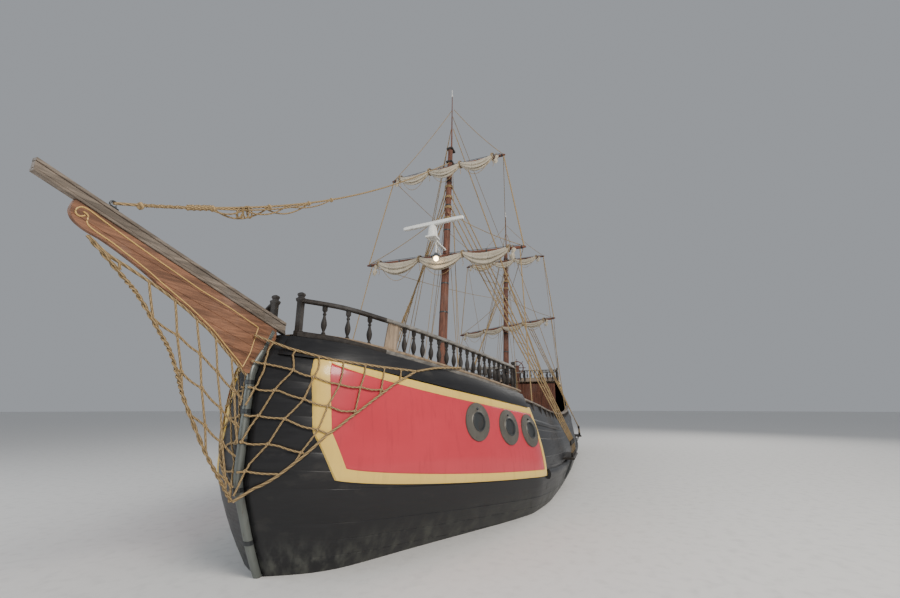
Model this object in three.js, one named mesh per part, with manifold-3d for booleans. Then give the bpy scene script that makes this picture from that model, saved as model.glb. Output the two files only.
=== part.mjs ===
// A two-masted replica galleon, afloat: hull, castles, rig with furled sails, and what moves on it.
// Millimetres. +X is forward, +Y is port, +Z is up.
// The origin is amidships, on the centreline at the waterline.
// A station is a distance aft of the stem head, so x = BOW_X - station.
import * as THREE from "three";
import { mergeVertices } from "three/addons/utils/BufferGeometryUtils.js";
import Module from "manifold-3d";

const wasm = await Module();
wasm.setup();

// Hull
const HULL_LENGTH = 26700;
const BOW_X = HULL_LENGTH / 2;
const KEEL_Z = -1900;
const KEEL_HALF = 110;
const LOW_STATION = 14000;
const SHEER_LOW = 2478;
const SHEER_BOW_RISE = 1362;
const SHEER_STERN_RISE = 900;
const WALE_LOW = 620;
const WALE_BOW_RISE = 860;
const WALE_STERN_RISE = 600;
const BILGE_POWER = 2.2;
const TUMBLE_POWER = 1.6;
const BOW_FADE = 7600;
const DECK_BELOW_SHEER = 1200;
const WAIST_RAIL_BELOW_SHEER = 200;
const CASTLE_ABOVE_SHEER = 1250;
const WALL = 120;
const DECK_THICK = 50;
const QUARTER_DECK_THICK = 70;
const GAP = 0.3;
const SKIN_GAP = 0.9;
const TOOL_DEEP = 500;
const FORECASTLE_BREAK = 5700;
const CASTLE_BREAK = 21900;
const STERN_FADE = CASTLE_BREAK;
const FOREDECK_START = 260;
const DECK_LIP = 30;
const RAIL_START = 200;
const RAIL_END_GAP = 120;
const RAIL_INSET = 90;

// Rig. A mast leans aft by its rake, in millimetres of station for each millimetre of height.
const FOREMAST = {
  foot: 8400,
  footZ: 5300,
  rake: 0.105,
  footDeckZ: 1540,
  deckRadius: 190,
  headRadius: 102,
  headZ: 13500,
  topZ: 16700,
  truss: 470,
};
const MAINMAST = {
  foot: 19850,
  footZ: 7460,
  rake: 0.15,
  footDeckZ: 1420,
  deckRadius: 190,
  headRadius: 125,
  headZ: 13000,
  topZ: 15900,
  truss: 560,
};
const YARD_RADIUS = 85;
const YARD_TAPER = 0.6;
const YARD_PAD_RADIUS = 75;
const TRUSS_PAD_DOWN = 110;
const SEAT_GAP = 0.35;
const SAIL_SPAN = 0.82;
const ROPE = 22;

// Section at a station: half-breadths at the wale and at the sheer, and how hollow the lower body is.
const SECTIONS = [
  { at: 0, wale: 68, sheer: 68, hollow: 1 },
  { at: 350, wale: 800, sheer: 600, hollow: 1.5 },
  { at: 700, wale: 1230, sheer: 1020, hollow: 1.6 },
  { at: 1300, wale: 1640, sheer: 1440, hollow: 1.6 },
  { at: 2000, wale: 2020, sheer: 1840, hollow: 1.5 },
  { at: 2900, wale: 2500, sheer: 2270, hollow: 1.35 },
  { at: 3900, wale: 3000, sheer: 2680, hollow: 1.15 },
  { at: 4900, wale: 3450, sheer: 3000, hollow: 0.95 },
  { at: 5700, wale: 3740, sheer: 3220, hollow: 0.9 },
  { at: 7600, wale: 3930, sheer: 3400, hollow: 0.85 },
  { at: 10500, wale: 3950, sheer: 3450, hollow: 0.8 },
  { at: 14000, wale: 3950, sheer: 3450, hollow: 0.8 },
  { at: 17500, wale: 3880, sheer: 3420, hollow: 0.95 },
  { at: 20200, wale: 3700, sheer: 3320, hollow: 1.4 },
  { at: 21900, wale: 3520, sheer: 3200, hollow: 2 },
  { at: 24600, wale: 3150, sheer: 2900, hollow: 3.6 },
  { at: 26700, wale: 2850, sheer: 2640, hollow: 6 },
];
// Profiles of the stem and the stern: the station that the hull ends at, at a height.
const STEM = [
  { at: -1900, station: 2400 },
  { at: -1450, station: 1350 },
  { at: -800, station: 620 },
  { at: 0, station: 150 },
  { at: 800, station: -220 },
  { at: 1620, station: -480 },
  { at: 3060, station: -460 },
  { at: 3840, station: 0 },
];
const STERN = [
  { at: -1900, station: 24900 },
  { at: 200, station: 25200 },
  { at: 1000, station: 26250 },
  { at: 4700, station: 26950 },
];

const MATERIALS = {
  black: paint(0x0c0c0d, 0.5),
  red: paint(0xc5303a, 0.45),
  cream: paint(0xe8c878, 0.55),
  plank: paint(0x6e3f2c, 0.6),
  greyTimber: paint(0x6d6054, 0.8),
  darkTimber: paint(0x2a211c, 0.65),
  deck: paint(0x8d765a, 0.8),
  steel: paint(0x8a8f94, 0.45, 0.8),
  iron: paint(0x3a3c3f, 0.5, 0.7),
  white: paint(0xe6e6e2, 0.4),
  canvas: paint(0xcdc4ae, 0.9),
  rope: paint(0xa8895a, 0.95),
  bronze: paint(0x8c6a35, 0.35, 0.9),
  antifouling: paint(0x5b1f1c, 0.7),
};

const ship = new THREE.Group();

function paint(color, roughness, metalness = 0) {
  return new THREE.MeshStandardMaterial({ color, roughness, metalness });
}

function piece(name, geometry, material) {
  const mesh = new THREE.Mesh(geometry, material);
  mesh.name = name;
  ship.add(mesh);
}

function vec(station, y, z) {
  return new THREE.Vector3(BOW_X - station, y, z);
}

// Value of a column at a place along a table, straight between its rows.
function along(rows, column, at) {
  const last = rows.length - 1;
  if (at <= rows[0].at) return rows[0][column];
  if (at >= rows[last].at) return rows[last][column];
  const next = rows.findIndex((row) => row.at >= at);
  const a = rows[next - 1];
  const b = rows[next];
  return THREE.MathUtils.mapLinear(at, a.at, b.at, a[column], b[column]);
}

// A line that is lowest at LOW_STATION and rises as a square to the bow and to the stern.
function sweep(station, low, bowRise, sternRise) {
  const forward = Math.max(0, LOW_STATION - station) / LOW_STATION;
  const aft = Math.max(0, station - LOW_STATION) / (HULL_LENGTH - LOW_STATION);
  return low + bowRise * forward ** 2 + sternRise * aft ** 2;
}

for (const row of SECTIONS) {
  row.sheerZ = sweep(row.at, SHEER_LOW, SHEER_BOW_RISE, SHEER_STERN_RISE);
  row.waleZ = sweep(row.at, WALE_LOW, WALE_BOW_RISE, WALE_STERN_RISE);
}
const sheerZ = (section) => along(SECTIONS, "sheerZ", section);
const waleZ = (section) => along(SECTIONS, "waleZ", section);
const deckZ = (station) => sheerZ(station) - DECK_BELOW_SHEER;
const castleZ = (station) => sheerZ(station) + CASTLE_ABOVE_SHEER;

// Half-breadth of a section at a height: a rounded bilge up to the wale, and tumblehome above it.
function halfBreadth(section, z) {
  const wale = along(SECTIONS, "wale", section);
  const wide = waleZ(section);
  if (z <= wide) {
    const up = THREE.MathUtils.clamp((z - KEEL_Z) / (wide - KEEL_Z), 0, 1);
    const round = (1 - (1 - up) ** BILGE_POWER) ** along(SECTIONS, "hollow", section);
    const keel = Math.min(KEEL_HALF, wale);
    return keel + (wale - keel) * round;
  }
  const up = (z - wide) / (sheerZ(section) - wide);
  return wale - (wale - along(SECTIONS, "sheer", section)) * up ** TUMBLE_POWER;
}

// The station of a section at a height: the first sections lean with the stem, the last ones with the stern.
function stationOf(section, z) {
  const bow = Math.max(0, 1 - section / BOW_FADE);
  const stern = Math.max(0, section - STERN_FADE) / (HULL_LENGTH - STERN_FADE);
  const sternShift = along(STERN, "station", z) - HULL_LENGTH;
  return section + along(STEM, "station", z) * bow + sternShift * stern;
}

// The section that passes through a station at a height: the inverse of stationOf.
function sectionOf(station, z) {
  const stem = along(STEM, "station", z);
  if (station < BOW_FADE) return Math.max(0, (station - stem) / (1 - stem / BOW_FADE));
  if (station <= STERN_FADE) return station;
  const run = HULL_LENGTH - STERN_FADE;
  const lean = (along(STERN, "station", z) - HULL_LENGTH) / run;
  return Math.min(HULL_LENGTH, (station + STERN_FADE * lean) / (1 + lean));
}

function side(section, z, out = 0) {
  return vec(stationOf(section, z), halfBreadth(section, z) + out, z);
}

const mirrored = (p) => new THREE.Vector3(p.x, -p.y, p.z);

// Sections between two stations: the table's own, and the two ends.
function sectionsBetween(from, to) {
  const inner = SECTIONS.map((row) => row.at).filter((at) => at > from + 60 && at < to - 60);
  return [from, ...inner, to];
}

// A closed geometry from points and triangles, turned to face outwards.
function closed(points, index) {
  const volume = index.reduce((sum, _, k) => {
    if (k % 3) return sum;
    const [a, b, c] = [points[index[k]], points[index[k + 1]], points[index[k + 2]]];
    return sum + a.dot(b.clone().cross(c)) / 6;
  }, 0);
  const geometry = new THREE.BufferGeometry().setFromPoints(points);
  geometry.setIndex(volume < 0 ? index.slice().reverse() : index);
  return geometry;
}

// A closed solid between two faces, each a function of a column and a row number.
function between(columns, rows, faceA, faceB) {
  const points = [];
  for (const face of [faceA, faceB])
    for (let i = 0; i <= columns; i++)
      for (let j = 0; j <= rows; j++) points.push(face(i, j));
  const at = (face, i, j) => (face * (columns + 1) + i) * (rows + 1) + j;
  const index = [];
  const quad = (a, b, c, d) => index.push(a, b, c, a, c, d);
  for (let i = 0; i < columns; i++)
    for (let j = 0; j < rows; j++) {
      quad(at(0, i, j), at(0, i + 1, j), at(0, i + 1, j + 1), at(0, i, j + 1));
      quad(at(1, i, j), at(1, i, j + 1), at(1, i + 1, j + 1), at(1, i + 1, j));
    }
  for (let i = 0; i < columns; i++) {
    quad(at(0, i, 0), at(1, i, 0), at(1, i + 1, 0), at(0, i + 1, 0));
    quad(at(0, i, rows), at(0, i + 1, rows), at(1, i + 1, rows), at(1, i, rows));
  }
  for (let j = 0; j < rows; j++) {
    quad(at(0, 0, j), at(0, 0, j + 1), at(1, 0, j + 1), at(1, 0, j));
    quad(at(0, columns, j), at(1, columns, j), at(1, columns, j + 1), at(0, columns, j + 1));
  }
  return closed(points, index);
}

// A closed solid through rings of equally many points, with a fan over each end.
function loft(rings) {
  const points = rings.flat();
  const count = rings[0].length;
  const index = [];
  for (let i = 0; i < rings.length - 1; i++)
    for (let j = 0; j < count; j++) {
      const a = i * count + j;
      const b = i * count + ((j + 1) % count);
      index.push(a, b, b + count, a, b + count, a + count);
    }
  const last = (rings.length - 1) * count;
  for (let j = 1; j < count - 1; j++) index.push(0, j + 1, j, last, last + j, last + j + 1);
  return closed(points, index);
}

function solid(geometry) {
  const bare = geometry.clone();
  bare.deleteAttribute("normal");
  bare.deleteAttribute("uv");
  const merged = mergeVertices(bare, 1e-3);
  const vertProperties = merged.attributes.position.array;
  const triVerts = new Uint32Array(merged.index.array);
  return new wasm.Manifold(new wasm.Mesh({ numProp: 3, vertProperties, triVerts }));
}

function geometryOf(manifold) {
  const { vertProperties, triVerts } = manifold.getMesh();
  const geometry = new THREE.BufferGeometry();
  geometry.setAttribute("position", new THREE.BufferAttribute(vertProperties, 3));
  return geometry.setIndex(new THREE.BufferAttribute(triVerts, 1));
}

function join(...geometries) {
  return geometryOf(geometries.map(solid).reduce((a, b) => a.add(b)));
}

// What is left of a solid after cuts: its largest body, without the slivers that a curved face can leave.
function cut(geometry, ...tools) {
  const bodies = tools.map(solid).reduce((a, b) => a.subtract(b), solid(geometry)).decompose();
  return geometryOf(bodies.reduce((a, b) => (b.volume() > a.volume() ? b : a)));
}

function box(from, to) {
  const size = to.clone().sub(from);
  const middle = from.clone().add(to).multiplyScalar(0.5);
  const geometry = new THREE.BoxGeometry(Math.abs(size.x), Math.abs(size.y), Math.abs(size.z));
  return geometry.translate(middle.x, middle.y, middle.z);
}

// A round bar from one point to another, which may taper.
function rod(from, to, radius, endRadius = radius, sides = 6) {
  const way = to.clone().sub(from);
  const geometry = new THREE.CylinderGeometry(endRadius, radius, way.length(), sides);
  geometry.translate(0, way.length() / 2, 0);
  way.normalize();
  const upright = Math.abs(way.y) > 0.95 ? new THREE.Vector3(0, 0, 1) : new THREE.Vector3(0, 1, 0);
  const across = upright.addScaledVector(way, -upright.dot(way)).normalize();
  const frame = new THREE.Matrix4().makeBasis(way.clone().cross(across), way, across);
  return geometry.applyMatrix4(frame).translate(from.x, from.y, from.z);
}

// A flat plate in the ship's centre plane: an outline of stations and heights, as thick as twice half.
function centrePlate(outline, half) {
  const shape = new THREE.Shape(outline.map(([station, z]) => new THREE.Vector2(BOW_X - station, z)));
  const geometry = new THREE.ExtrudeGeometry(shape, { depth: 2 * half, bevelEnabled: false });
  return geometry.rotateX(Math.PI / 2).translate(0, half, 0);
}

// A solid right across the ship, between two heights that follow the station.
function acrossHull(from, to, bottomZ, topZ, rows, inset = 0) {
  const list = sectionsBetween(from, to);
  const last = list.length - 1;
  const endGrow = THREE.MathUtils.clamp(-inset, 0, SKIN_GAP);
  const port = (i, j) => {
    const bottom = bottomZ(list[i]);
    const point = side(list[i], bottom + ((topZ(list[i]) - bottom) * j) / rows, -inset);
    if (i === 0) point.x += endGrow;
    if (i === last) point.x -= endGrow;
    return point;
  };
  return between(last, rows, port, (i, j) => mirrored(port(i, j)));
}

// A layer on the port side between two heights: from depth inside the side to thick outside it.
function sideLayer(list, rows, bottomZ, topZ, depth, thick) {
  const face = (out) => (i, j) => {
    const bottom = bottomZ(list[i]);
    return side(list[i], bottom + ((topZ(list[i]) - bottom) * j) / rows, out);
  };
  return between(list.length - 1, rows, face(thick), face(-depth));
}

const railZ = (section) => sheerZ(section) - WAIST_RAIL_BELOW_SHEER;
const forecastleZ = (section) => sheerZ(section) - DECK_THICK;
const HULL_ROWS = 12;
const FORECASTLE_ROWS = 5;
const BULWARK_ROWS = 3;
const CASTLE_ROWS = 6;

// The hull's whole outer form, grown by a small gap: the tool that cuts what lies on it.
const core = join(
  acrossHull(0, HULL_LENGTH, () => KEEL_Z, deckZ, HULL_ROWS, -SKIN_GAP),
  acrossHull(0, FORECASTLE_BREAK, deckZ, forecastleZ, FORECASTLE_ROWS, -SKIN_GAP),
  acrossHull(FORECASTLE_BREAK, CASTLE_BREAK, deckZ, railZ, BULWARK_ROWS, -SKIN_GAP),
  acrossHull(CASTLE_BREAK, HULL_LENGTH, deckZ, castleZ, CASTLE_ROWS, -SKIN_GAP),
);

// The same piece on both sides.
function pair(name, geometry, material) {
  piece(name + "_port", geometry, material);
  const other = geometry.clone().scale(1, -1, 1);
  const order = other.index.array.slice().reverse();
  piece(name + "_starboard", other.setIndex(new THREE.BufferAttribute(order, 1)), material);
}

function buildHull() {
  const onDeck = (at) => deckZ(at) + GAP;
  piece("hull", acrossHull(0, HULL_LENGTH, () => KEEL_Z, deckZ, HULL_ROWS), MATERIALS.black);
  piece("forecastle", acrossHull(0, FORECASTLE_BREAK, onDeck, forecastleZ, FORECASTLE_ROWS), MATERIALS.black);
  const waist = sectionsBetween(FORECASTLE_BREAK + GAP, CASTLE_BREAK - GAP);
  pair("bulwark", sideLayer(waist, BULWARK_ROWS, onDeck, railZ, WALL, 0), MATERIALS.black);
  const cap = sideLayer(waist, 1, (at) => railZ(at) + GAP, (at) => railZ(at) + 60, WALL + 40, 50);
  pair("cap_rail", cap, MATERIALS.greyTimber);
  buildDecks();
  buildStem();
  buildKeel();
}

// The decks. Grown by a gap and made deep, each is the tool that cuts what stands on it.
function foredeck(grow = 0, deep = -GAP) {
  const top = (at) => sheerZ(at) + grow;
  const bottom = (at) => forecastleZ(at) - deep;
  const rows = Math.round((DECK_THICK + deep) / DECK_THICK);
  return acrossHull(FOREDECK_START - grow, FORECASTLE_BREAK, bottom, top, rows, -DECK_LIP - grow);
}

function mainDeck(grow = 0, deep = -GAP) {
  const top = (at) => deckZ(at) + DECK_THICK + grow;
  return acrossHull(FORECASTLE_BREAK + 1, HULL_LENGTH - 400, (at) => deckZ(at) - deep, top, 1, WALL + 10);
}

function quarterDeck(grow = 0, deep = -GAP) {
  const top = (at) => castleZ(at) + QUARTER_DECK_THICK + grow;
  return acrossHull(CASTLE_BREAK - 150, HULL_LENGTH, (at) => castleZ(at) - deep, top, 1, -40 - grow);
}

function buildDecks() {
  piece("forecastle_deck", foredeck(), MATERIALS.deck);
  piece("main_deck", mainDeck(), MATERIALS.deck);
  piece("quarter_deck", quarterDeck(), MATERIALS.deck);
}

const STEM_POST_DEPTH = 130;
const STEM_POST_HALF = 66;

function buildStem() {
  const rows = STEM.filter((row) => row.at > -1000 && row.at < 3500);
  const back = rows.map((row) => [row.station - GAP, row.at]);
  const front = back.map(([station, z]) => [station - STEM_POST_DEPTH, z]).reverse();
  piece("stem_post", cut(centrePlate([...back, ...front], STEM_POST_HALF), core), MATERIALS.steel);
}

function buildKeel() {
  const top = KEEL_Z - GAP;
  const outline = [
    [2700, top],
    [26750, top],
    [26750, top - 180],
    [25900, top - 230],
    [3400, top - 230],
    [2700, top - 80],
  ];
  piece("keel", centrePlate(outline, 130), MATERIALS.antifouling);
}

// The bowsprit is a stack of three boards on the knee. It gets thinner forward, and both ends are plumb.
const SPRIT_AFT = 150;
const SPRIT_FORE = -3715;
const SPRIT_LOW = [3808, 4885];
const SPRIT_THICK = [225, 155];
const SPRIT_LAYERS = [
  { from: 0, to: 0.22, half: 42 },
  { from: 0.22, to: 0.74, half: 32 },
  { from: 0.74, to: 1, half: 42 },
];
const KNEE_HALF = 26;
const KNEE_NOSE = [
  [-3358, 4700],
  [-3362, 4620],
  [-3330, 4560],
  [-3270, 4520],
  [-3146, 4449],
  [-2546, 4201],
  [-1815, 3867],
  [-1362, 3644],
  [-1040, 3400],
  [-600, 3080],
  [-600, 2700],
  [-300, 2700],
];

// Height at a station, for a share of the bowsprit's thickness from its underside.
function spritZ(station, share) {
  const forward = (SPRIT_AFT - station) / (SPRIT_AFT - SPRIT_FORE);
  const thick = THREE.MathUtils.lerp(...SPRIT_THICK, forward);
  return THREE.MathUtils.lerp(...SPRIT_LOW, forward) + thick * share;
}

function buildBowsprit() {
  const boards = SPRIT_LAYERS.map(({ from, to, half }) => {
    const corner = (station, share, lift) => [station, spritZ(station, share) + lift];
    const low = from > 0 ? -1 : 0;
    const corners = [
      corner(SPRIT_AFT, to, 0),
      corner(SPRIT_FORE, to, 0),
      corner(SPRIT_FORE, from, low),
      corner(SPRIT_AFT, from, low),
    ];
    return centrePlate(corners, half);
  });
  piece("bowsprit", join(...boards), MATERIALS.greyTimber);
  const top = [-60, -3310].map((station) => [station, spritZ(station, 0) - SKIN_GAP]);
  const stemSpace = box(vec(-602, -400, 900), vec(600, 400, 3080));
  piece("knee", cut(centrePlate([...top, ...KNEE_NOSE], KNEE_HALF), core, stemSpace), MATERIALS.plank);
}

// The red panel on each bow: its edges as heights along the side, and its fore edge by height.
const PANEL_AFT = 5870;
const PANEL_BORDER = 165;
const PANEL_THICK = 30;
const PANEL_BORDER_THICK = 45;
const PANEL_FORE = [
  { at: 1400, section: 680 },
  { at: 2180, section: 440 },
  { at: 3400, section: 420 },
];
const STRAKE_HIGH = 380;
const WALE_START = 6050;
const WALE_SHIFT = 45;
const panelBottom = (at) => waleZ(at) - 40;
const panelTop = (at) => sheerZ(at) - STRAKE_HIGH;

function panelPatch(inset, depth, thick) {
  const columns = 11;
  const rows = 5;
  const face = (out) => (i, j) => {
    const guess = (PANEL_AFT * i) / columns;
    const bottom = panelBottom(guess) + inset;
    const z = bottom + ((panelTop(guess) - inset - bottom) * j) / rows;
    const fore = along(PANEL_FORE, "section", z) + inset;
    const aft = sectionOf(PANEL_AFT - inset, z);
    const section = fore + (aft - fore) * (i / columns) ** 1.3;
    return side(section, z, out);
  };
  return between(columns, rows, face(thick), face(-depth));
}

function buildPanels() {
  const whole = panelPatch(0, 60, PANEL_BORDER_THICK);
  const hole = panelPatch(PANEL_BORDER, 400, 400);
  pair("panel_border", cut(whole, hole, core), MATERIALS.cream);
  pair("panel", cut(panelPatch(PANEL_BORDER + 1, 60, PANEL_THICK), core), MATERIALS.red);
  const strakeList = [90, 390, 750, 1350, 2060, 2970, 3980, 4990, FORECASTLE_BREAK];
  const strake = sideLayer(strakeList, 2, (at) => panelTop(at) - 20, (at) => forecastleZ(at) - 1, 60, 70);
  pair("sheer_strake", cut(strake, core, panelPatch(-2, 400, 400)), MATERIALS.black);
  // The wale's sections lie clear of the hull's: faces that share them cut each other into needles.
  const waleEnds = sectionsBetween(WALE_START, HULL_LENGTH - 30);
  const isEnd = (i) => i === 0 || i === waleEnds.length - 1;
  const waleList = waleEnds.map((at, i) => (isEnd(i) ? at : at + WALE_SHIFT));
  const wale = sideLayer(waleList, 2, (at) => waleZ(at) - 130, (at) => waleZ(at) + 110, 60, 90);
  pair("wale", cut(wale, core), MATERIALS.black);
}

const PORTHOLES = [
  { name: "fore", station: 3220, z: 2260 },
  { name: "middle", station: 4320, z: 2110 },
  { name: "aft", station: 5240, z: 2000 },
];
const PORTHOLE_PROFILE = [
  [0, -90],
  [370, -90],
  [370, 50],
  [345, 70],
  [270, 70],
  [245, 30],
  [0, 30],
];

function buildPortholes() {
  const rim = new THREE.LatheGeometry(PORTHOLE_PROFILE.map(([r, h]) => new THREE.Vector2(r, h)), 16);
  const bed = join(core, panelPatch(PANEL_BORDER + 1, 60, PANEL_THICK + SKIN_GAP));
  for (const { name, station, z } of PORTHOLES) {
    const section = sectionOf(station, z);
    const place = side(section, z, PANEL_THICK);
    const ahead = side(section - 100, z, PANEL_THICK).sub(side(section + 100, z, PANEL_THICK));
    const up = side(section, z + 100, PANEL_THICK).sub(side(section, z - 100, PANEL_THICK));
    const normal = up.cross(ahead).normalize();
    const turn = new THREE.Quaternion().setFromUnitVectors(new THREE.Vector3(0, 1, 0), normal);
    const round = rim.clone().applyQuaternion(turn).translate(place.x, place.y, place.z);
    pair("porthole_" + name, cut(round, bed), MATERIALS.iron);
  }
}

// Railings
const BALUSTER = [
  [0, 0],
  [40, 0],
  [26, 130],
  [54, 280],
  [28, 540],
  [0, 540],
];
const SILL_HIGH = 70;
const SILL_SINK = 30;
const SILL_HALF = 95;
const HANDRAIL_Z = 600;
const HANDRAIL_HALF = 60;
const HANDRAIL_THICK = 75;
const BALUSTER_STEP = 245;
const AFT_BALUSTER_STEP = 368;
const GATE_Y = 1700;
const POST_SINK = 20;
const POST = { half: 80, high: HANDRAIL_Z + 150 };
const BOW_POST = { half: 70, high: HANDRAIL_Z + 120 };

// A flat bar along a line of points, as wide as twice half, between two heights over the line.
function bar(line, half, low, high) {
  const normals = line.map((_, i) => {
    const before = line[Math.max(0, i - 1)];
    const after = line[Math.min(line.length - 1, i + 1)];
    return new THREE.Vector3(after.y - before.y, before.x - after.x, 0).normalize();
  });
  const edge = (reach) => (i, j) =>
    line[i].clone().addScaledVector(normals[i], reach).add(new THREE.Vector3(0, 0, j ? high : low));
  return between(line.length - 1, 1, edge(half), edge(-half));
}

// Balusters at even steps along a line, standing on its sill.
function balusters(line, step) {
  const path = new THREE.CurvePath();
  for (let i = 1; i < line.length; i++) path.add(new THREE.LineCurve3(line[i - 1], line[i]));
  const count = Math.round(path.getLength() / step);
  const shape = new THREE.LatheGeometry(BALUSTER.map(([r, h]) => new THREE.Vector2(r, h)), 4);
  shape.rotateX(Math.PI / 2);
  return Array.from({ length: count }, (_, k) => {
    const p = path.getPointAt((k + 0.5) / count);
    return shape.clone().translate(p.x, p.y, p.z + SILL_HIGH - 2);
  });
}

function railing(line, step = BALUSTER_STEP) {
  const sill = bar(line, SILL_HALF, -SILL_SINK, SILL_HIGH);
  return [sill, bar(line, HANDRAIL_HALF, HANDRAIL_Z, HANDRAIL_Z + HANDRAIL_THICK), ...balusters(line, step)];
}

// A square post round a point, from POST_SINK below it to a height over it.
function post(at, half, high) {
  const corner = new THREE.Vector3(half, half, high);
  return box(at.clone().sub(new THREE.Vector3(half, half, POST_SINK)), at.clone().add(corner));
}

function buildRails() {
  const onSheer = (at) => side(at, sheerZ(at), -RAIL_INSET);
  const port = sectionsBetween(RAIL_START, FORECASTLE_BREAK - RAIL_END_GAP).map(onSheer);
  const breakLine = [port.at(-1), mirrored(port.at(-1))];
  const lines = [port, port.map(mirrored), breakLine];
  const corners = lines[2];
  const bowPosts = [port[0], mirrored(port[0])];
  const parts = [
    ...lines.flatMap((line) => railing(line)),
    ...corners.map((p) => post(p, POST.half, POST.high)),
    ...bowPosts.map((p) => post(p, BOW_POST.half, BOW_POST.high)),
  ];
  piece("forecastle_rail", cut(join(...parts), foredeck(SKIN_GAP, TOOL_DEEP)), MATERIALS.darkTimber);
  const lift = new THREE.Vector3(0, 0, QUARTER_DECK_THICK);
  const top = (at) => side(at, castleZ(at), -RAIL_INSET).add(lift);
  const aftPort = sectionsBetween(CASTLE_BREAK, HULL_LENGTH - 140).map(top);
  const front = aftPort[0];
  const gate = new THREE.Vector3(front.x, GATE_Y, front.z);
  const aftLines = [
    aftPort,
    aftPort.map(mirrored),
    [aftPort.at(-1), mirrored(aftPort.at(-1))],
    [front, gate],
    [mirrored(gate), mirrored(front)],
  ];
  const aftCorners = [front, aftPort.at(-1)].flatMap((p) => [p, mirrored(p)]);
  const aftParts = [
    ...aftLines.flatMap((line) => railing(line, AFT_BALUSTER_STEP)),
    ...aftCorners.map((p) => post(p, POST.half, POST.high)),
  ];
  piece("quarter_deck_rail", cut(join(...aftParts), quarterDeck(SKIN_GAP, TOOL_DEEP)), MATERIALS.darkTimber);
}

// Aft castle: the cabin walls under the quarter deck, with windows and two doors.
const DOOR_WIDE = 760;
const DOOR_HIGH = 1850;
const DOOR_INNER_Y = 900;
const DOOR_THICK = 50;
const BULKHEAD_THICK = 90;
const BULKHEAD_CLEAR = 9;
const SIDE_WINDOWS = { stations: [23300, 25000], half: 330, up: 480, halfHigh: 260 };
const STERN_WINDOWS = { places: [-1350, -450, 450, 1350], half: 280, up: 420, halfHigh: 330 };
const THROUGH = 5000;

function buildCastle() {
  const bottom = (at) => deckZ(at) + GAP;
  const shell = acrossHull(CASTLE_BREAK, HULL_LENGTH, bottom, castleZ, CASTLE_ROWS);
  const above = (at) => castleZ(at) + 400;
  const inside = acrossHull(CASTLE_BREAK - 400, HULL_LENGTH - 160, () => 400, above, 8, WALL);
  const windows = [];
  for (const station of SIDE_WINDOWS.stations) {
    const { half, halfHigh } = SIDE_WINDOWS;
    const z = sheerZ(station) + SIDE_WINDOWS.up;
    const low = vec(station - half, -THROUGH, z - halfHigh);
    windows.push(box(low, vec(station + half, THROUGH, z + halfHigh)));
  }
  for (const y of STERN_WINDOWS.places) {
    const { half, halfHigh } = STERN_WINDOWS;
    const z = sheerZ(HULL_LENGTH) + STERN_WINDOWS.up;
    windows.push(box(vec(26000, y - half, z - halfHigh), vec(28000, y + half, z + halfHigh)));
  }
  piece("aft_castle", cut(shell, inside, ...windows), MATERIALS.black);
  const floor = deckZ(CASTLE_BREAK) + DECK_THICK + GAP;
  const front = CASTLE_BREAK + 5;
  const wall = acrossHull(
    front,
    front + BULKHEAD_THICK,
    (at) => deckZ(at) + DECK_THICK + 2 * GAP,
    (at) => castleZ(at) - GAP,
    4,
    WALL + BULKHEAD_CLEAR,
  );
  const gaps = [1, -1].map((way) => {
    const near = way * DOOR_INNER_Y;
    const far = way * (DOOR_INNER_Y + DOOR_WIDE);
    return box(vec(front - 300, near, floor - 300), vec(front + 400, far, floor + DOOR_HIGH));
  });
  piece("cabin_bulkhead", cut(wall, ...gaps), MATERIALS.plank);
  const sill = deckZ(front + BULKHEAD_THICK) + DECK_THICK + 8;
  const slab = box(
    vec(front + 10, DOOR_INNER_Y + 6, sill + 4),
    vec(front + 10 + DOOR_THICK, DOOR_INNER_Y + DOOR_WIDE - GAP, floor + DOOR_HIGH - 6),
  );
  pair("door", slab, MATERIALS.plank);
}

// Masts
const mastStation = (mast, z) => mast.foot + (z - mast.footZ) * mast.rake;
const mastAt = (mast, z, forward = 0, y = 0) => vec(mastStation(mast, z) - forward, y, z);
const mastRadius = (mast, z) =>
  THREE.MathUtils.mapLinear(z, mast.footDeckZ, mast.headZ, mast.deckRadius, mast.headRadius);

const POLE_LEAN = 100;
const POLE_FOOT_RADIUS = 42;
const POLE_TOP_RADIUS = 16;
const CAP = { aft: 170, fore: 240, half: 140, high: 80 };

function buildMast(name, mast, yards) {
  const foot = mastAt(mast, mast.footDeckZ);
  const head = mastAt(mast, mast.headZ);
  const parts = [rod(foot, head, mast.deckRadius, mast.headRadius, 12)];
  for (const { z } of yards) {
    const arm = rod(mastAt(mast, z - 195), mastAt(mast, z - 195, mast.truss + 40), 50, 50, 6);
    const padTop = mastAt(mast, z - TRUSS_PAD_DOWN, mast.truss);
    const pad = rod(mastAt(mast, z - 230, mast.truss), padTop, 80, 80, 8);
    parts.push(arm, pad);
  }
  piece(name, cut(join(...parts), mainDeck(SKIN_GAP, TOOL_DEEP)), MATERIALS.plank);
  const poleFoot = mastAt(mast, mast.headZ - 900, -(mast.headRadius + 90));
  const poleTop = mastAt(mast, mast.topZ, POLE_LEAN);
  const pole = rod(poleFoot, poleTop, POLE_FOOT_RADIUS, POLE_TOP_RADIUS, 8);
  const bands = [mast.headZ - 800, mast.headZ - 120].map((z) => {
    const centre = mastAt(mast, z, -(mast.headRadius / 2 + 50));
    return box(
      new THREE.Vector3(centre.x - CAP.aft, centre.y - CAP.half, centre.z),
      new THREE.Vector3(centre.x + CAP.fore, centre.y + CAP.half, centre.z + CAP.high),
    );
  });
  const above = mastAt(mast, mast.headZ + 1);
  const lower = rod(foot, above, mast.deckRadius + 1, mast.headRadius + 1, 12);
  piece(name.replace("mast", "topmast"), cut(join(pole, ...bands), lower), MATERIALS.plank);
}

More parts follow.
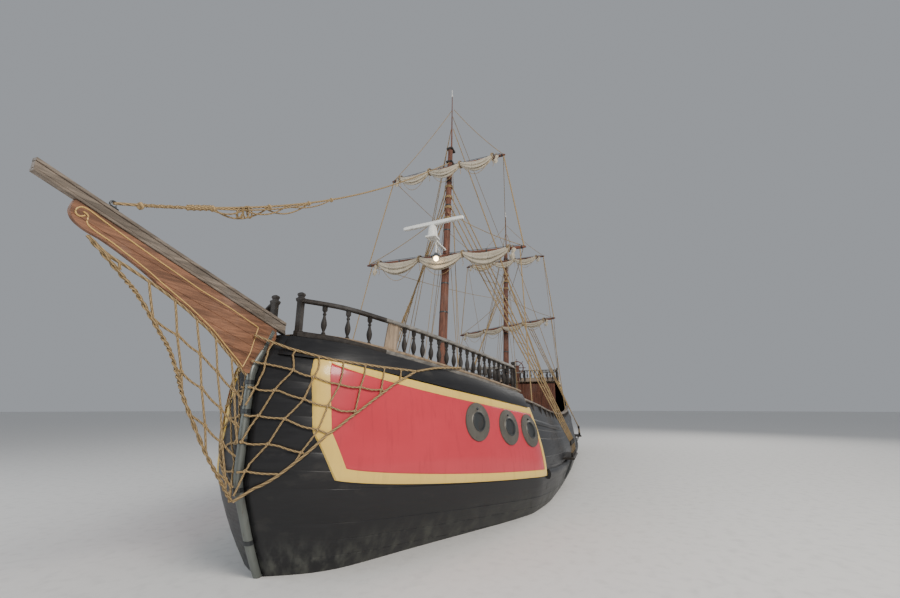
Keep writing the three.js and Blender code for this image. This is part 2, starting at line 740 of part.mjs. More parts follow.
// The spar of a yard round its truss pin: two tapered arms and a pad below, all grown by a gap.
function spar(half, padFoot, padHead, grow, padGrow) {
  const middle = new THREE.Vector3(0, 0, 0);
  const end = YARD_RADIUS * YARD_TAPER + grow;
  return join(
    rod(middle, new THREE.Vector3(0, half, 0), YARD_RADIUS + grow, end, 8),
    rod(middle, new THREE.Vector3(0, -half, 0), YARD_RADIUS + grow, end, 8),
    rod(padFoot, padHead, YARD_PAD_RADIUS + padGrow, YARD_PAD_RADIUS + padGrow, 8),
  );
}

// A yard on its truss pad, braced round the mast, and the sail gathered along it in swags.
function buildYard(name, mast, { z, half, brace, swags, drop }) {
  const lean = new THREE.Vector3(-mast.rake, 0, 1);
  const padFoot = lean.clone().multiplyScalar(-TRUSS_PAD_DOWN);
  lean.normalize();
  const padHead = lean.clone().multiplyScalar(40);
  const centre = mastAt(mast, z, mast.truss);
  const turn = new THREE.Quaternion().setFromAxisAngle(lean, -THREE.MathUtils.degToRad(brace));
  const place = (g) => g.applyQuaternion(turn).translate(centre.x, centre.y, centre.z);
  const yard = spar(half, padFoot.clone().addScaledVector(lean, GAP), padHead, 0, 0);
  const canvas = sailRoll(half * SAIL_SPAN, swags, drop);
  const clear = spar(half, padFoot, padHead, SEAT_GAP, 25);
  piece(name + "_yard", place(yard), MATERIALS.plank);
  const axis = lean.clone().multiplyScalar(700);
  const swing = rod(axis.clone().negate(), axis, 115, 115, 12);
  piece(name + "_sail", place(cut(canvas, clear, swing)), MATERIALS.canvas);
}

// The furled sail: an oval roll that hangs in swags before the yard, thin where the gaskets hold it.
function sailRoll(half, swags, drop) {
  const steps = swags * 6;
  const rings = [];
  for (let i = 0; i <= steps; i++) {
    const u = i / steps;
    const hang = Math.abs(Math.sin(Math.PI * swags * u));
    const y = half * (2 * u - 1);
    const wide = 95 + 45 * hang;
    const high = 75 + 70 * hang;
    const centre = new THREE.Vector3(150, y, -20 - drop * hang);
    rings.push(
      Array.from({ length: 8 }, (_, k) => {
        const a = (2 * Math.PI * (k + 0.5)) / 8;
        return centre.clone().add(new THREE.Vector3(wide * Math.cos(a), 0, high * Math.sin(a)));
      }),
    );
  }
  return loft(rings);
}

const FORE_YARDS = [
  { name: "fore_course", z: 8120, half: 3210, brace: 0, swags: 3, drop: 400 },
  { name: "fore_topsail", z: 12120, half: 2540, brace: 4, swags: 3, drop: 320 },
];
const MAIN_YARDS = [
  { name: "main_course", z: 7350, half: 3380, brace: 19, swags: 4, drop: 210 },
  { name: "main_topsail", z: 11850, half: 2640, brace: 4, swags: 3, drop: 300 },
];

function buildRig() {
  buildMast("foremast", FOREMAST, FORE_YARDS);
  buildMast("mainmast", MAINMAST, MAIN_YARDS);
  for (const yard of FORE_YARDS) buildYard(yard.name, FOREMAST, yard);
  for (const yard of MAIN_YARDS) buildYard(yard.name, MAINMAST, yard);
  buildShrouds("fore", FOREMAST, { headZ: 10000, first: 9500, count: 4 });
  buildShrouds("main", MAINMAST, { headZ: 10100, first: 20450, count: 3 });
  buildStays();
}

// Shrouds of one side: ropes from the mast head to deadeyes on a channel at the wale.
const SHROUD_STEP = 480;
const SHROUD_HEAD_STEP = 500;
const CHANNEL_OUT = 380;
const CHANNEL_RISE = 190;
const CHANNEL_THICK = 70;
const DEADEYE_UP = 420;
const DEADEYE_HALF = 85;
const DEADEYE_RADIUS = 75;

// A ring of points round a place, in the plane of two directions.
function ringAt(place, a, b, sides) {
  return Array.from({ length: sides }, (_, k) => {
    const angle = (2 * Math.PI * k) / sides;
    return place.clone().addScaledVector(a, Math.cos(angle)).addScaledVector(b, Math.sin(angle));
  });
}

// One shroud: a lanyard, a deadeye and the rope, which ends flat against the side of the mast.
function shroud(foot, head) {
  const ahead = new THREE.Vector3(1, 0, 0);
  const eye = foot.clone().add(new THREE.Vector3(0, 0, DEADEYE_UP));
  const way = head.clone().sub(eye).normalize();
  const across = way.clone().cross(ahead).normalize();
  const ring = (place, radius) =>
    ringAt(place, ahead.clone().multiplyScalar(radius), across.clone().multiplyScalar(radius), 4);
  const onRope = (reach) => eye.clone().addScaledVector(way, reach);
  return loft([
    ring(foot, 30),
    ring(onRope(-DEADEYE_HALF - 20), 30),
    ring(onRope(-DEADEYE_HALF), DEADEYE_RADIUS),
    ring(onRope(DEADEYE_HALF), DEADEYE_RADIUS),
    ring(onRope(DEADEYE_HALF + 20), ROPE + 6),
    ringAt(head, ahead.clone().multiplyScalar(ROPE), new THREE.Vector3(0, 0, 2 * ROPE), 4),
  ]);
}

function buildShrouds(name, mast, { headZ, first, count }) {
  const channelZ = waleZ(first) + CHANNEL_RISE;
  const list = [first - 250, first + (count - 1) * SHROUD_STEP + 200];
  const plank = sideLayer(list, 1, () => channelZ, () => channelZ + CHANNEL_THICK, 120, CHANNEL_OUT);
  const ropes = Array.from({ length: count }, (_, k) => {
    const station = first + k * SHROUD_STEP;
    const foot = side(sectionOf(station, channelZ), channelZ + CHANNEL_THICK / 2, CHANNEL_OUT - 90);
    const z = headZ + SHROUD_HEAD_STEP * k;
    return shroud(foot, mastAt(mast, z, 0, mastRadius(mast, z) + SKIN_GAP));
  });
  pair(name + "_shrouds", cut(join(plank, ...ropes), core), MATERIALS.rope);
}

// A stay that ends flat against the fore side of a mast: its last ring is its own tube, cut along the mast.
function stay(points, radii, mast, sides) {
  const sideways = new THREE.Vector3(0, 1, 0);
  const last = points.length - 1;
  const rings = points.map((p, i) => {
    const way = points[Math.min(last, i + 1)].clone().sub(points[Math.max(0, i - 1)]).normalize();
    const square = sideways.clone().cross(way).negate();
    const alongMast = new THREE.Vector3(-mast.rake, 0, 1);
    const up = i === last ? alongMast.divideScalar(alongMast.dot(square)) : square;
    return ringAt(p, sideways.clone().multiplyScalar(radii[i]), up.multiplyScalar(radii[i]), sides);
  });
  return loft(rings);
}

const FORESTAY = { foot: -2930, footUp: 70, headZ: 12650, bundleFrom: 0.1, bundleTo: 0.3, steps: 20 };
const STAY_SAG = [780, 330];
const EYE_PLATE = { long: 45, up: 95, half: 20 };
const MAINSTAY = { foot: 9150, headZ: 10900 };

const mastFront = (mast, z) => mastAt(mast, z, mastRadius(mast, z) * Math.hypot(1, mast.rake) + SKIN_GAP);

function buildStays() {
  const low = vec(FORESTAY.foot, 0, spritZ(FORESTAY.foot, 1) + FORESTAY.footUp);
  const high = mastFront(FOREMAST, FORESTAY.headZ);
  const share = Array.from({ length: FORESTAY.steps + 1 }, (_, i) => i / FORESTAY.steps);
  const points = share.map((u) => {
    const sag = new THREE.Vector3(0, 0, -4 * THREE.MathUtils.lerp(...STAY_SAG, u) * u * (1 - u));
    return low.clone().lerp(high, u).add(sag);
  });
  const inBundle = (u) => u > FORESTAY.bundleFrom && u < FORESTAY.bundleTo;
  const radii = share.map((u, i) => (inBundle(u) ? 62 + 22 * Math.sin((i * Math.PI) / 2) : ROPE));
  const plateEnds = [FORESTAY.foot + EYE_PLATE.long, FORESTAY.foot - EYE_PLATE.long];
  const plateLow = plateEnds.map((station) => [station, spritZ(station, 1) + SKIN_GAP]);
  const plateHigh = plateEnds.toReversed().map((station) => [station, spritZ(station, 1) + EYE_PLATE.up]);
  const eyePlate = centrePlate([...plateHigh, ...plateLow], EYE_PLATE.half);
  piece("forestay", join(stay(points, radii, FOREMAST, 6), eyePlate), MATERIALS.rope);
  const deck = deckZ(MAINSTAY.foot) + DECK_THICK;
  const block = box(vec(MAINSTAY.foot - 90, -70, deck - 60), vec(MAINSTAY.foot + 90, 70, deck + 140));
  const from = vec(MAINSTAY.foot, 0, deck + 100);
  const to = mastFront(MAINMAST, MAINSTAY.headZ);
  const main = stay([from, to], [ROPE + 4, ROPE + 4], MAINMAST, 6);
  piece("mainstay", cut(join(main, block), mainDeck(SKIN_GAP, TOOL_DEEP)), MATERIALS.rope);
}

// Radar: a bracket forward of the foremast, a pedestal with a lamp under it, and the turning scanner.
const RADAR_STATION = 7260;
const RADAR_Z = 8480;
const SCANNER_HALF = 1220;
const SCANNER_Z = 9040;
const SCANNER_TURN = THREE.MathUtils.degToRad(-7);
const LAMP_STATION = 7630;
const LAMP_TOP_Z = 8060;
const LAMP_PROFILE = [
  [0, -320],
  [70, -300],
  [95, -190],
  [150, -170],
  [150, -130],
  [60, -40],
  [60, 0],
  [0, 0],
];

function buildRadar() {
  const front = mastFront(FOREMAST, RADAR_Z).x;
  const arm = box(
    vec(RADAR_STATION - 200, -60, RADAR_Z),
    new THREE.Vector3(front, 60, RADAR_Z + 60),
  );
  const plate = box(
    vec(RADAR_STATION - 220, -200, RADAR_Z + 1),
    vec(RADAR_STATION + 220, 200, RADAR_Z + 59),
  );
  const stand = rod(
    vec(RADAR_STATION, 0, RADAR_Z + 50),
    vec(RADAR_STATION, 0, SCANNER_Z - 70 - GAP),
    170,
    120,
    12,
  );
  const drop = rod(vec(LAMP_STATION, 0, RADAR_Z + 10), vec(LAMP_STATION, 0, LAMP_TOP_Z + GAP), 20, 20, 6);
  piece("radar_stand", join(arm, plate, stand, drop), MATERIALS.white);
  const bar = box(
    vec(RADAR_STATION - 75, -SCANNER_HALF, SCANNER_Z - 45),
    vec(RADAR_STATION + 75, SCANNER_HALF, SCANNER_Z + 105),
  );
  const axisX = vec(RADAR_STATION, 0, 0).x;
  bar.translate(-axisX, 0, 0).rotateZ(SCANNER_TURN).translate(axisX, 0, 0);
  const neck = rod(vec(RADAR_STATION, 0, SCANNER_Z - 70), vec(RADAR_STATION, 0, SCANNER_Z - 20), 90, 90, 12);
  piece("radar_scanner", join(bar, neck), MATERIALS.white);
  const lamp = new THREE.LatheGeometry(LAMP_PROFILE.map(([r, h]) => new THREE.Vector2(r, h)), 12);
  lamp.rotateX(Math.PI / 2).translate(BOW_X - LAMP_STATION, 0, LAMP_TOP_Z);
  piece("mast_lamp", lamp, MATERIALS.iron);
}

// Steering gear and propeller
const RUDDER_STATION = 26000;
const PROPELLER_STATION = 25420;
const PROPELLER_Z = -1000;
const PROPELLER_RADIUS = 560;
const WHEEL_STATION = 23100;

function buildSteering() {
  const blade = centrePlate(
    [
      [RUDDER_STATION - 60, KEEL_Z + 12],
      [RUDDER_STATION - 60, 420],
      [RUDDER_STATION + 160, 560],
      [RUDDER_STATION + 420, 560],
      [RUDDER_STATION + 760, -900],
      [RUDDER_STATION + 760, KEEL_Z + 160],
      [RUDDER_STATION + 700, KEEL_Z + 12],
    ],
    55,
  );
  const stock = rod(vec(RUDDER_STATION, 0, KEEL_Z), vec(RUDDER_STATION, 0, 560), 85, 85, 12);
  piece("rudder", join(blade, stock), MATERIALS.antifouling);
  const shaftEnd = PROPELLER_STATION - 121;
  const shaft = rod(vec(24400, 0, PROPELLER_Z), vec(shaftEnd, 0, PROPELLER_Z), 130, 95, 10);
  piece("propeller_shaft", cut(shaft, core), MATERIALS.bronze);
  const hubFront = vec(shaftEnd + GAP, 0, PROPELLER_Z);
  const hub = rod(hubFront, vec(PROPELLER_STATION + 130, 0, PROPELLER_Z), 95, 60, 10);
  const blades = [0, 1, 2].map((k) => {
    const leaf = new THREE.BoxGeometry(28, 260, PROPELLER_RADIUS - 40);
    leaf.translate(0, 0, (PROPELLER_RADIUS + 40) / 2);
    leaf.rotateZ(THREE.MathUtils.degToRad(35));
    leaf.rotateX((2 * Math.PI * k) / 3);
    return leaf.translate(BOW_X - PROPELLER_STATION, 0, PROPELLER_Z);
  });
  piece("propeller", join(hub, ...blades), MATERIALS.bronze);
  buildWheel();
}

const WHEEL_RADIUS = 430;
const WHEEL_UP = 950;
const WHEEL_HUB_HALF = 50;

function buildWheel() {
  const floor = castleZ(WHEEL_STATION) + QUARTER_DECK_THICK;
  const centre = vec(WHEEL_STATION, 0, floor + WHEEL_UP);
  const column = box(
    vec(WHEEL_STATION - 240, -160, floor - 60),
    vec(WHEEL_STATION - 80, 160, floor + WHEEL_UP + 140),
  );
  const axleEnd = vec(WHEEL_STATION - WHEEL_HUB_HALF - GAP, 0, centre.z);
  const axle = rod(vec(WHEEL_STATION - 130, 0, centre.z), axleEnd, 60, 60, 8);
  piece("wheel_stand", cut(join(column, axle), quarterDeck(SKIN_GAP, TOOL_DEEP)), MATERIALS.plank);
  const rim = new THREE.TorusGeometry(WHEEL_RADIUS, 34, 4, 16).rotateY(Math.PI / 2);
  const hubEnd = new THREE.Vector3(WHEEL_HUB_HALF, 0, 0);
  const hub = rod(hubEnd, hubEnd.clone().negate(), 85, 85, 8);
  const spokes = [0, 1, 2, 3].map((k) => {
    const way = new THREE.Vector3(0, Math.cos((k * Math.PI) / 4), Math.sin((k * Math.PI) / 4));
    return rod(way.clone().multiplyScalar(-600), way.clone().multiplyScalar(600), 20, 20, 4);
  });
  const wheel = join(rim, hub, ...spokes).translate(centre.x, centre.y, centre.z);
  piece("steering_wheel", wheel, MATERIALS.plank);
}

buildHull();
buildBowsprit();
buildPanels();
buildPortholes();
buildRails();
buildCastle();
buildRig();
buildRadar();
buildSteering();

export default ship;
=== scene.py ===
"""Dresses a two-masted replica galleon, afloat: planking, rails, rig, furled sails, bow net and deck gear.

Metres. +X is forward, +Y is port, +Z is up, and the waterline is at zero.
A station is a distance aft of the stem head, so x = BOW - station.
"""
import math

import bmesh
import bpy
import numpy as np
from mathutils import Matrix


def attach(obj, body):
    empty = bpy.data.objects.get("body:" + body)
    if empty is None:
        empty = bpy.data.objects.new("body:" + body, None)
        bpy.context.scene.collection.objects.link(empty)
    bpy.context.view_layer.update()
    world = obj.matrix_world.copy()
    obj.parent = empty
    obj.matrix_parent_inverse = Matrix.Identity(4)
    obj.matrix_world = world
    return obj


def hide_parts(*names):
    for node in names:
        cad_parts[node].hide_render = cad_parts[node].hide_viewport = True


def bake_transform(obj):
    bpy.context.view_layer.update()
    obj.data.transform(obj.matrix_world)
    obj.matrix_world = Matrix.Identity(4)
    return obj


bl_info = {
    "name": "Replica galleon dressing",
    "version": (1, 0, 0),
    "blender": (4, 5, 0),
    "location": "View3D > Sidebar > Galleon",
    "description": "Adds planking, rails, rig, sails and gear to the plain model of a replica galleon",
    "category": "Object",
}

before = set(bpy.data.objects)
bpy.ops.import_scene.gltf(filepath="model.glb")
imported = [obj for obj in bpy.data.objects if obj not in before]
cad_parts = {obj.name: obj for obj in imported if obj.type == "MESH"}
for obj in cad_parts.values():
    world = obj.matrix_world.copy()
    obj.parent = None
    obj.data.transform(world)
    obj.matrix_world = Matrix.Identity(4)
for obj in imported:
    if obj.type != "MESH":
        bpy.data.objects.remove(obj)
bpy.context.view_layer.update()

# Hull: the same driving sizes as the solids.
LENGTH = 26.7
BOW = LENGTH / 2
KEEL = -1.9
KEEL_HALF = 0.11
BOW_FADE = 7.6
FORECASTLE_BREAK = 5.7
CASTLE_BREAK = 21.9
DECK_DROP = 1.2
RAIL_DROP = 0.2
CASTLE_RISE = 1.25
DECK_THICK = 0.05
DECK_PLANK = 0.16
BREAK_HALF = 3.1
QUARTER_DECK_THICK = 0.07
BILGE_POWER = 2.2
TUMBLE_POWER = 1.6
LOW_STATION = 14.0

# Section table: station, half-breadth at the wale and at the sheer, hollow of the lower body.
SECTIONS = np.array(
    [
        (0.0, 0.068, 0.068, 1.0), (0.35, 0.80, 0.60, 1.5), (0.7, 1.23, 1.02, 1.6), (1.3, 1.64, 1.44, 1.6),
        (2.0, 2.02, 1.84, 1.5), (2.9, 2.50, 2.27, 1.35), (3.9, 3.00, 2.68, 1.15), (4.9, 3.45, 3.00, 0.95),
        (5.7, 3.74, 3.22, 0.9), (7.6, 3.93, 3.40, 0.85), (10.5, 3.95, 3.45, 0.8), (14.0, 3.95, 3.45, 0.8),
        (17.5, 3.88, 3.42, 0.95), (20.2, 3.70, 3.32, 1.4), (21.9, 3.52, 3.20, 2.0), (24.6, 3.15, 2.90, 3.6),
        (26.7, 2.85, 2.64, 6.0),
    ]
)
# Profiles of the stem and the stern: height, station.
STEM = np.array(
    [(-1.9, 2.4), (-1.45, 1.35), (-0.8, 0.62), (0, 0.15), (0.8, -0.22), (1.62, -0.48), (3.06, -0.46),
     (3.84, 0)]
)
STERN = np.array([(-1.9, 24.9), (0.2, 25.2), (1.0, 26.25), (4.7, 26.95)])

# Rig: mast foot, rake, radii and heights, and each yard's height, half length and brace angle.
FOREMAST = {
    "foot": 8.4, "foot_z": 5.3, "rake": 0.105, "deck_z": 1.54,
    "radii": (0.19, 0.102), "head": 13.5, "top": 16.7, "truss": 0.47,
}
MAINMAST = {
    "foot": 19.85, "foot_z": 7.46, "rake": 0.15, "deck_z": 1.42,
    "radii": (0.19, 0.125), "head": 13.0, "top": 15.9, "truss": 0.56,
}
YARDS = {
    "fore_course": {"mast": FOREMAST, "z": 8.12, "half": 3.21, "brace": 0, "swags": 3, "drop": 0.4,
                    "clew": 0.5},
    "fore_topsail": {"mast": FOREMAST, "z": 12.12, "half": 2.54, "brace": 4, "swags": 3, "drop": 0.32,
                     "clew": 0.38},
    "main_course": {"mast": MAINMAST, "z": 7.35, "half": 3.38, "brace": 19, "swags": 4, "drop": 0.21,
                    "clew": 0.4},
    "main_topsail": {"mast": MAINMAST, "z": 11.85, "half": 2.64, "brace": 4, "swags": 3, "drop": 0.3,
                     "clew": 0.36},
}
YARD_RADIUS = 0.085
UP = np.array([0.0, 0.0, 1.0])
PORT = np.array([0.0, 1.0, 0.0])
AHEAD = np.array([1.0, 0.0, 0.0])
WAYS = (("port", 1), ("starboard", -1))
EVEN = (1, 1, 1)


# Numbers along the ship
def through(rows, place, column=1):
    """Monotone cubic through a table: Hermite pieces, each slope a harmonic mean of those beside it."""
    x, y = rows[:, 0], rows[:, column]
    slope = np.diff(y) / np.diff(x)
    m = np.zeros(len(x))
    same = slope[:-1] * slope[1:] > 0
    m[1:-1][same] = (2 * slope[:-1] * slope[1:])[same] / (slope[:-1] + slope[1:])[same]
    m[0], m[-1] = slope[0], slope[-1]
    place = np.clip(place, x[0], x[-1])
    k = np.clip(np.searchsorted(x, place) - 1, 0, len(x) - 2)
    h = x[k + 1] - x[k]
    t = (place - x[k]) / h
    ends = y[k] * (1 + 2 * t) * (1 - t) ** 2 + y[k + 1] * t * t * (3 - 2 * t)
    return ends + h * (m[k] * t * (1 - t) ** 2 - m[k + 1] * t * t * (1 - t))


def sweep(station, low, bow_rise, stern_rise):
    """A line that is lowest amidships: low + bow_rise * forward^2 + stern_rise * aft^2."""
    forward = np.clip((LOW_STATION - station) / LOW_STATION, 0, None)
    aft = np.clip((station - LOW_STATION) / (LENGTH - LOW_STATION), 0, None)
    return low + bow_rise * forward**2 + stern_rise * aft**2


def sheer_z(station):
    """Height of the sheer line, a square sweep."""
    return sweep(station, 2.478, 1.362, 0.9)


def wale_z(station):
    """Height of the widest line, a flatter square sweep."""
    return sweep(station, 0.62, 0.86, 0.6)


def half_breadth(section, z):
    """Half-breadth: a bilge, keel + (wale - keel) * (1 - (1 - t)^2.2)^hollow, then tumblehome t^1.6."""
    section, z = np.broadcast_arrays(section, z)
    wale = through(SECTIONS, section, 1)
    sheer = through(SECTIONS, section, 2)
    hollow = through(SECTIONS, section, 3)
    wide = wale_z(section)
    up = np.clip((z - KEEL) / (wide - KEEL), 0, 1)
    keel = np.minimum(KEEL_HALF, wale)
    low = keel + (wale - keel) * (1 - (1 - up) ** BILGE_POWER) ** hollow
    over = np.clip((z - wide) / (sheer_z(section) - wide), 0, 2)
    return np.where(z <= wide, low, wale - (wale - sheer) * over**TUMBLE_POWER)


def station_of(section, z):
    """Station of a section at a height: it leans with the stem at the bow and with the stern at the stern."""
    bow = np.clip(1 - section / BOW_FADE, 0, None)
    stern = np.clip(section - CASTLE_BREAK, 0, None) / (LENGTH - CASTLE_BREAK)
    return section + through(STEM, z) * bow + (through(STERN, z) - LENGTH) * stern


def section_of(station, z):
    """Section through a station forward of the castle: the inverse of station_of."""
    stem = through(STEM, z)
    near_bow = (station - stem) / (1 - stem / BOW_FADE)
    return np.clip(np.where(station < BOW_FADE, near_bow, station), 0, LENGTH)


def side(section, z, out=0.0):
    """Points on the port side, moved out athwart."""
    return at(station_of(section, z), half_breadth(section, z) + out, z)


def xyz(*parts):
    """Points from their two or three coordinates, each of them a number or an array."""
    return np.stack(np.broadcast_arrays(*parts), -1)


def at(station, y, z):
    """Points from their stations, breadths and heights."""
    return xyz(BOW - station, y, z)


def lengths(path):
    """The length run along a path at each of its points."""
    return np.concatenate([[0], np.cumsum(np.linalg.norm(np.diff(path, axis=0), axis=1))])


def flip(points):
    """The same points on the other side of the ship."""
    return np.asarray(points, float) * (1, -1, 1)


def deck_top(station):
    """Height of the main deck's planks."""
    return sheer_z(station) - DECK_DROP + DECK_THICK


def castle_top(station):
    """Height of the quarter deck's planks."""
    return sheer_z(station) + CASTLE_RISE + QUARTER_DECK_THICK


# Surfaces as whole arrays
class Surface:
    """Points, sets of faces with equal corner counts, and each corner's (u, v)."""

    def __init__(self, points, faces, uvs):
        self.points, self.faces, self.uvs = np.asarray(points, float), faces, uvs

    def flipped(self):
        """The mirror image across the centre plane, with its faces turned back outwards."""
        faces = [f[:, ::-1] for f in self.faces]
        return Surface(self.points * (1, -1, 1), faces, [uv[:, ::-1] for uv in self.uvs])

    def on(self, sign):
        """The surface itself to port, and its mirror image to starboard."""
        return self if sign > 0 else self.flipped()

    def moved(self, matrix=None, by=(0, 0, 0)):
        """Turned by a 3x3 matrix and then moved."""
        turned = self.points if matrix is None else self.points @ np.asarray(matrix).T
        return Surface(turned + np.asarray(by, float), self.faces, self.uvs)

    def copies(self, places):
        """One copy at each place, by adding every place to every point."""
        places = np.asarray(places, float)
        count = len(self.points)
        points = (places[:, None] + self.points[None]).reshape(-1, 3)
        step = np.arange(len(places))[:, None, None] * count
        faces = [(f[None] + step).reshape(-1, f.shape[1]) for f in self.faces]
        uvs = [np.tile(uv, (len(places), 1, 1)) for uv in self.uvs]
        return Surface(points, faces, uvs)


def both(surface):
    """A port surface with its starboard twin."""
    return together([surface, surface.flipped()])


def together(surfaces):
    """One surface of several, side by side in the arrays."""
    starts = np.cumsum([0] + [len(s.points) for s in surfaces[:-1]])
    faces = [f + start for s, start in zip(surfaces, starts) for f in s.faces]
    uvs = [uv for s in surfaces for uv in s.uvs]
    return Surface(np.concatenate([s.points for s in surfaces]), faces, uvs)


def grid(points, around=False, ends=False, keep=None, turn=False):
    """Squares between neighbouring points of an array (rows, columns, 3); v is the length along the rows.

    around joins the last column to the first, ends adds a fan over each end row,
    keep drops squares where it is false, and turn reverses the faces.
    """
    points = np.asarray(points, float)
    rows, columns = points.shape[:2]
    i, j = np.arange(rows - 1)[:, None], np.arange(columns if around else columns - 1)
    nxt = (j + 1) % columns
    faces = xyz(i * columns + j, (i + 1) * columns + j, (i + 1) * columns + nxt, i * columns + nxt)
    middle = points.mean(1)
    run = lengths(middle)
    share = np.arange(columns + 1) / (columns if around else columns - 1)
    corners = ((share[j], run[i]), (share[j], run[i + 1]), (share[j + 1], run[i + 1]), (share[j + 1], run[i]))
    uv = np.stack([xyz(*corner) for corner in corners], 2)
    chosen = np.ones(faces.shape[:2], bool) if keep is None else keep
    all_faces, all_uvs = [faces[chosen]], [uv[chosen]]
    flat = points.reshape(-1, 3)
    if ends:
        count = len(flat)
        ring = np.arange(columns)
        follow = (ring + 1) % columns
        last_row = (rows - 1) * columns
        flat = np.concatenate([flat, middle[[0, -1]]])
        angle = 2 * np.pi * ring / columns
        rim = xyz(np.cos(angle), np.sin(angle)) * 0.1
        fan = np.stack([rim, np.roll(rim, -1, 0), np.zeros_like(rim)], 1)
        all_faces += [xyz(ring, follow, count), xyz(follow + last_row, ring + last_row, count + 1)]
        all_uvs += [fan, fan]
    if turn:
        all_faces = [f[:, ::-1] for f in all_faces]
        all_uvs = [u[:, ::-1] for u in all_uvs]
    return Surface(flat, all_faces, all_uvs)


def solid(points):
    """A bar whose rows of points are joined round and capped at both ends."""
    return grid(points, around=True, ends=True)


def unit(v):
    """Vectors of length one."""
    return v / np.maximum(np.linalg.norm(v, axis=-1, keepdims=True), 1e-12)


def carried(path, profile, up=UP, scale=1.0):
    """A closed profile (across, up) carried along a path: point + across * side + up * rise at each step."""
    path = np.asarray(path, float)
    way = unit(np.gradient(path, axis=0))
    across = unit(np.cross(np.broadcast_to(up, way.shape), way))
    rise = np.cross(way, across)
    profile = np.asarray(profile, float) * np.reshape(scale, (-1, 1, 1))
    profile = np.broadcast_to(profile, (len(path),) + profile.shape[1:])
    return solid(path[:, None] + profile[..., :1] * across[:, None] + profile[..., 1:] * rise[:, None])


def angles(count):
    """Angles once round, from zero to a full turn."""
    return np.linspace(0, 2 * np.pi, count)


def circle(sides, radius=1.0):
    """A round profile, from cosine and sine."""
    a = -2 * np.pi * np.arange(sides) / sides
    return xyz(radius * np.cos(a), radius * np.sin(a))


def tube(path, radius, sides=8):
    """A round bar along a path, whose radius may be one number or one for each point."""
    path = np.asarray(path, float)
    lean = np.abs(unit(path[-1] - path[0])[2])
    up = AHEAD if lean > 0.8 else UP
    return carried(path, circle(sides), up, np.broadcast_to(radius, len(path)))


def rod(a, b, radius, sides=6, count=2):
    """A straight round bar."""
    return tube(line(a, b, count), radius, sides)


def lathe(profile, sides=16):
    """A profile (radius, height) turned round the z axis, with a fan over each end."""
    profile = np.asarray(profile, float)
    a = 2 * np.pi * np.arange(sides) / sides
    points = xyz(profile[:, :1] * np.cos(a), profile[:, :1] * np.sin(a), profile[:, 1:])
    return grid(points, around=True, ends=True, turn=True)


def plank(half, high):
    """The profile of an upright board: half its thickness and half its height."""
    return [(-half, -high), (-half, high), (half, high), (half, -high)]


def blocks(lows, highs):
    """Boxes between pairs of corners, worked out as one array."""
    lows, highs = np.atleast_2d(np.asarray(lows, float)), np.atleast_2d(np.asarray(highs, float))
    lows, highs = np.minimum(lows, highs), np.maximum(lows, highs)
    pick = xyz((0, 1, 1, 0, 0, 1, 1, 0), (0, 0, 1, 1, 0, 0, 1, 1), (0, 0, 0, 0, 1, 1, 1, 1))
    points = lows[:, None] + pick[None] * (highs - lows)[:, None]
    face = np.array([(0, 3, 2, 1), (4, 5, 6, 7), (0, 1, 5, 4), (1, 2, 6, 5), (2, 3, 7, 6), (3, 0, 4, 7)])
    faces = (face[None] + 8 * np.arange(len(lows))[:, None, None]).reshape(-1, 4)
    uv = np.tile(np.array([(0, 0), (1, 0), (1, 1), (0, 1)], float), (len(faces), 1, 1))
    return Surface(points.reshape(-1, 3), [faces], [uv])


def line(a, b, count=2):
    """Points evenly along a straight line."""
    t = np.linspace(0, 1, count)[:, None]
    return (1 - t) * np.asarray(a, float) + t * np.asarray(b, float)


def sagged(a, b, sag, count):
    """A line that hangs: straight, less 4 * sag * t * (1 - t) in height."""
    points = line(a, b, count)
    t = np.linspace(0, 1, count)
    points[:, 2] -= 4 * sag * t * (1 - t)
    return points


def bend(points, count):
    """A smooth path through hand-set points: a Catmull-Rom curve, resampled evenly by parameter."""
    p = np.asarray(points, float)
    p = np.concatenate([[2 * p[0] - p[1]], p, [2 * p[-1] - p[-2]]])
    t = np.linspace(0, len(points) - 1, count)
    k = np.clip(t.astype(int), 0, len(points) - 2)
    u = (t - k)[:, None]
    a, b, c, d = p[k], p[k + 1], p[k + 2], p[k + 3]
    return 0.5 * (2 * b + (c - a) * u + (2 * a - 5 * b + 4 * c - d) * u**2 + (3 * b - a - 3 * c + d) * u**3)


def eased(points, step):
    """A path through points at even steps of its length, its corners eased by eight rounds of averages."""
    p = np.asarray(points, float)
    along = lengths(p)
    place = np.linspace(0, along[-1], int(along[-1] / step) + 2)
    path = xyz(*[np.interp(place, along, values) for values in p.T])
    for _ in range(8):
        path[1:-1] = 0.25 * path[:-2] + 0.5 * path[1:-1] + 0.25 * path[2:]
    return path


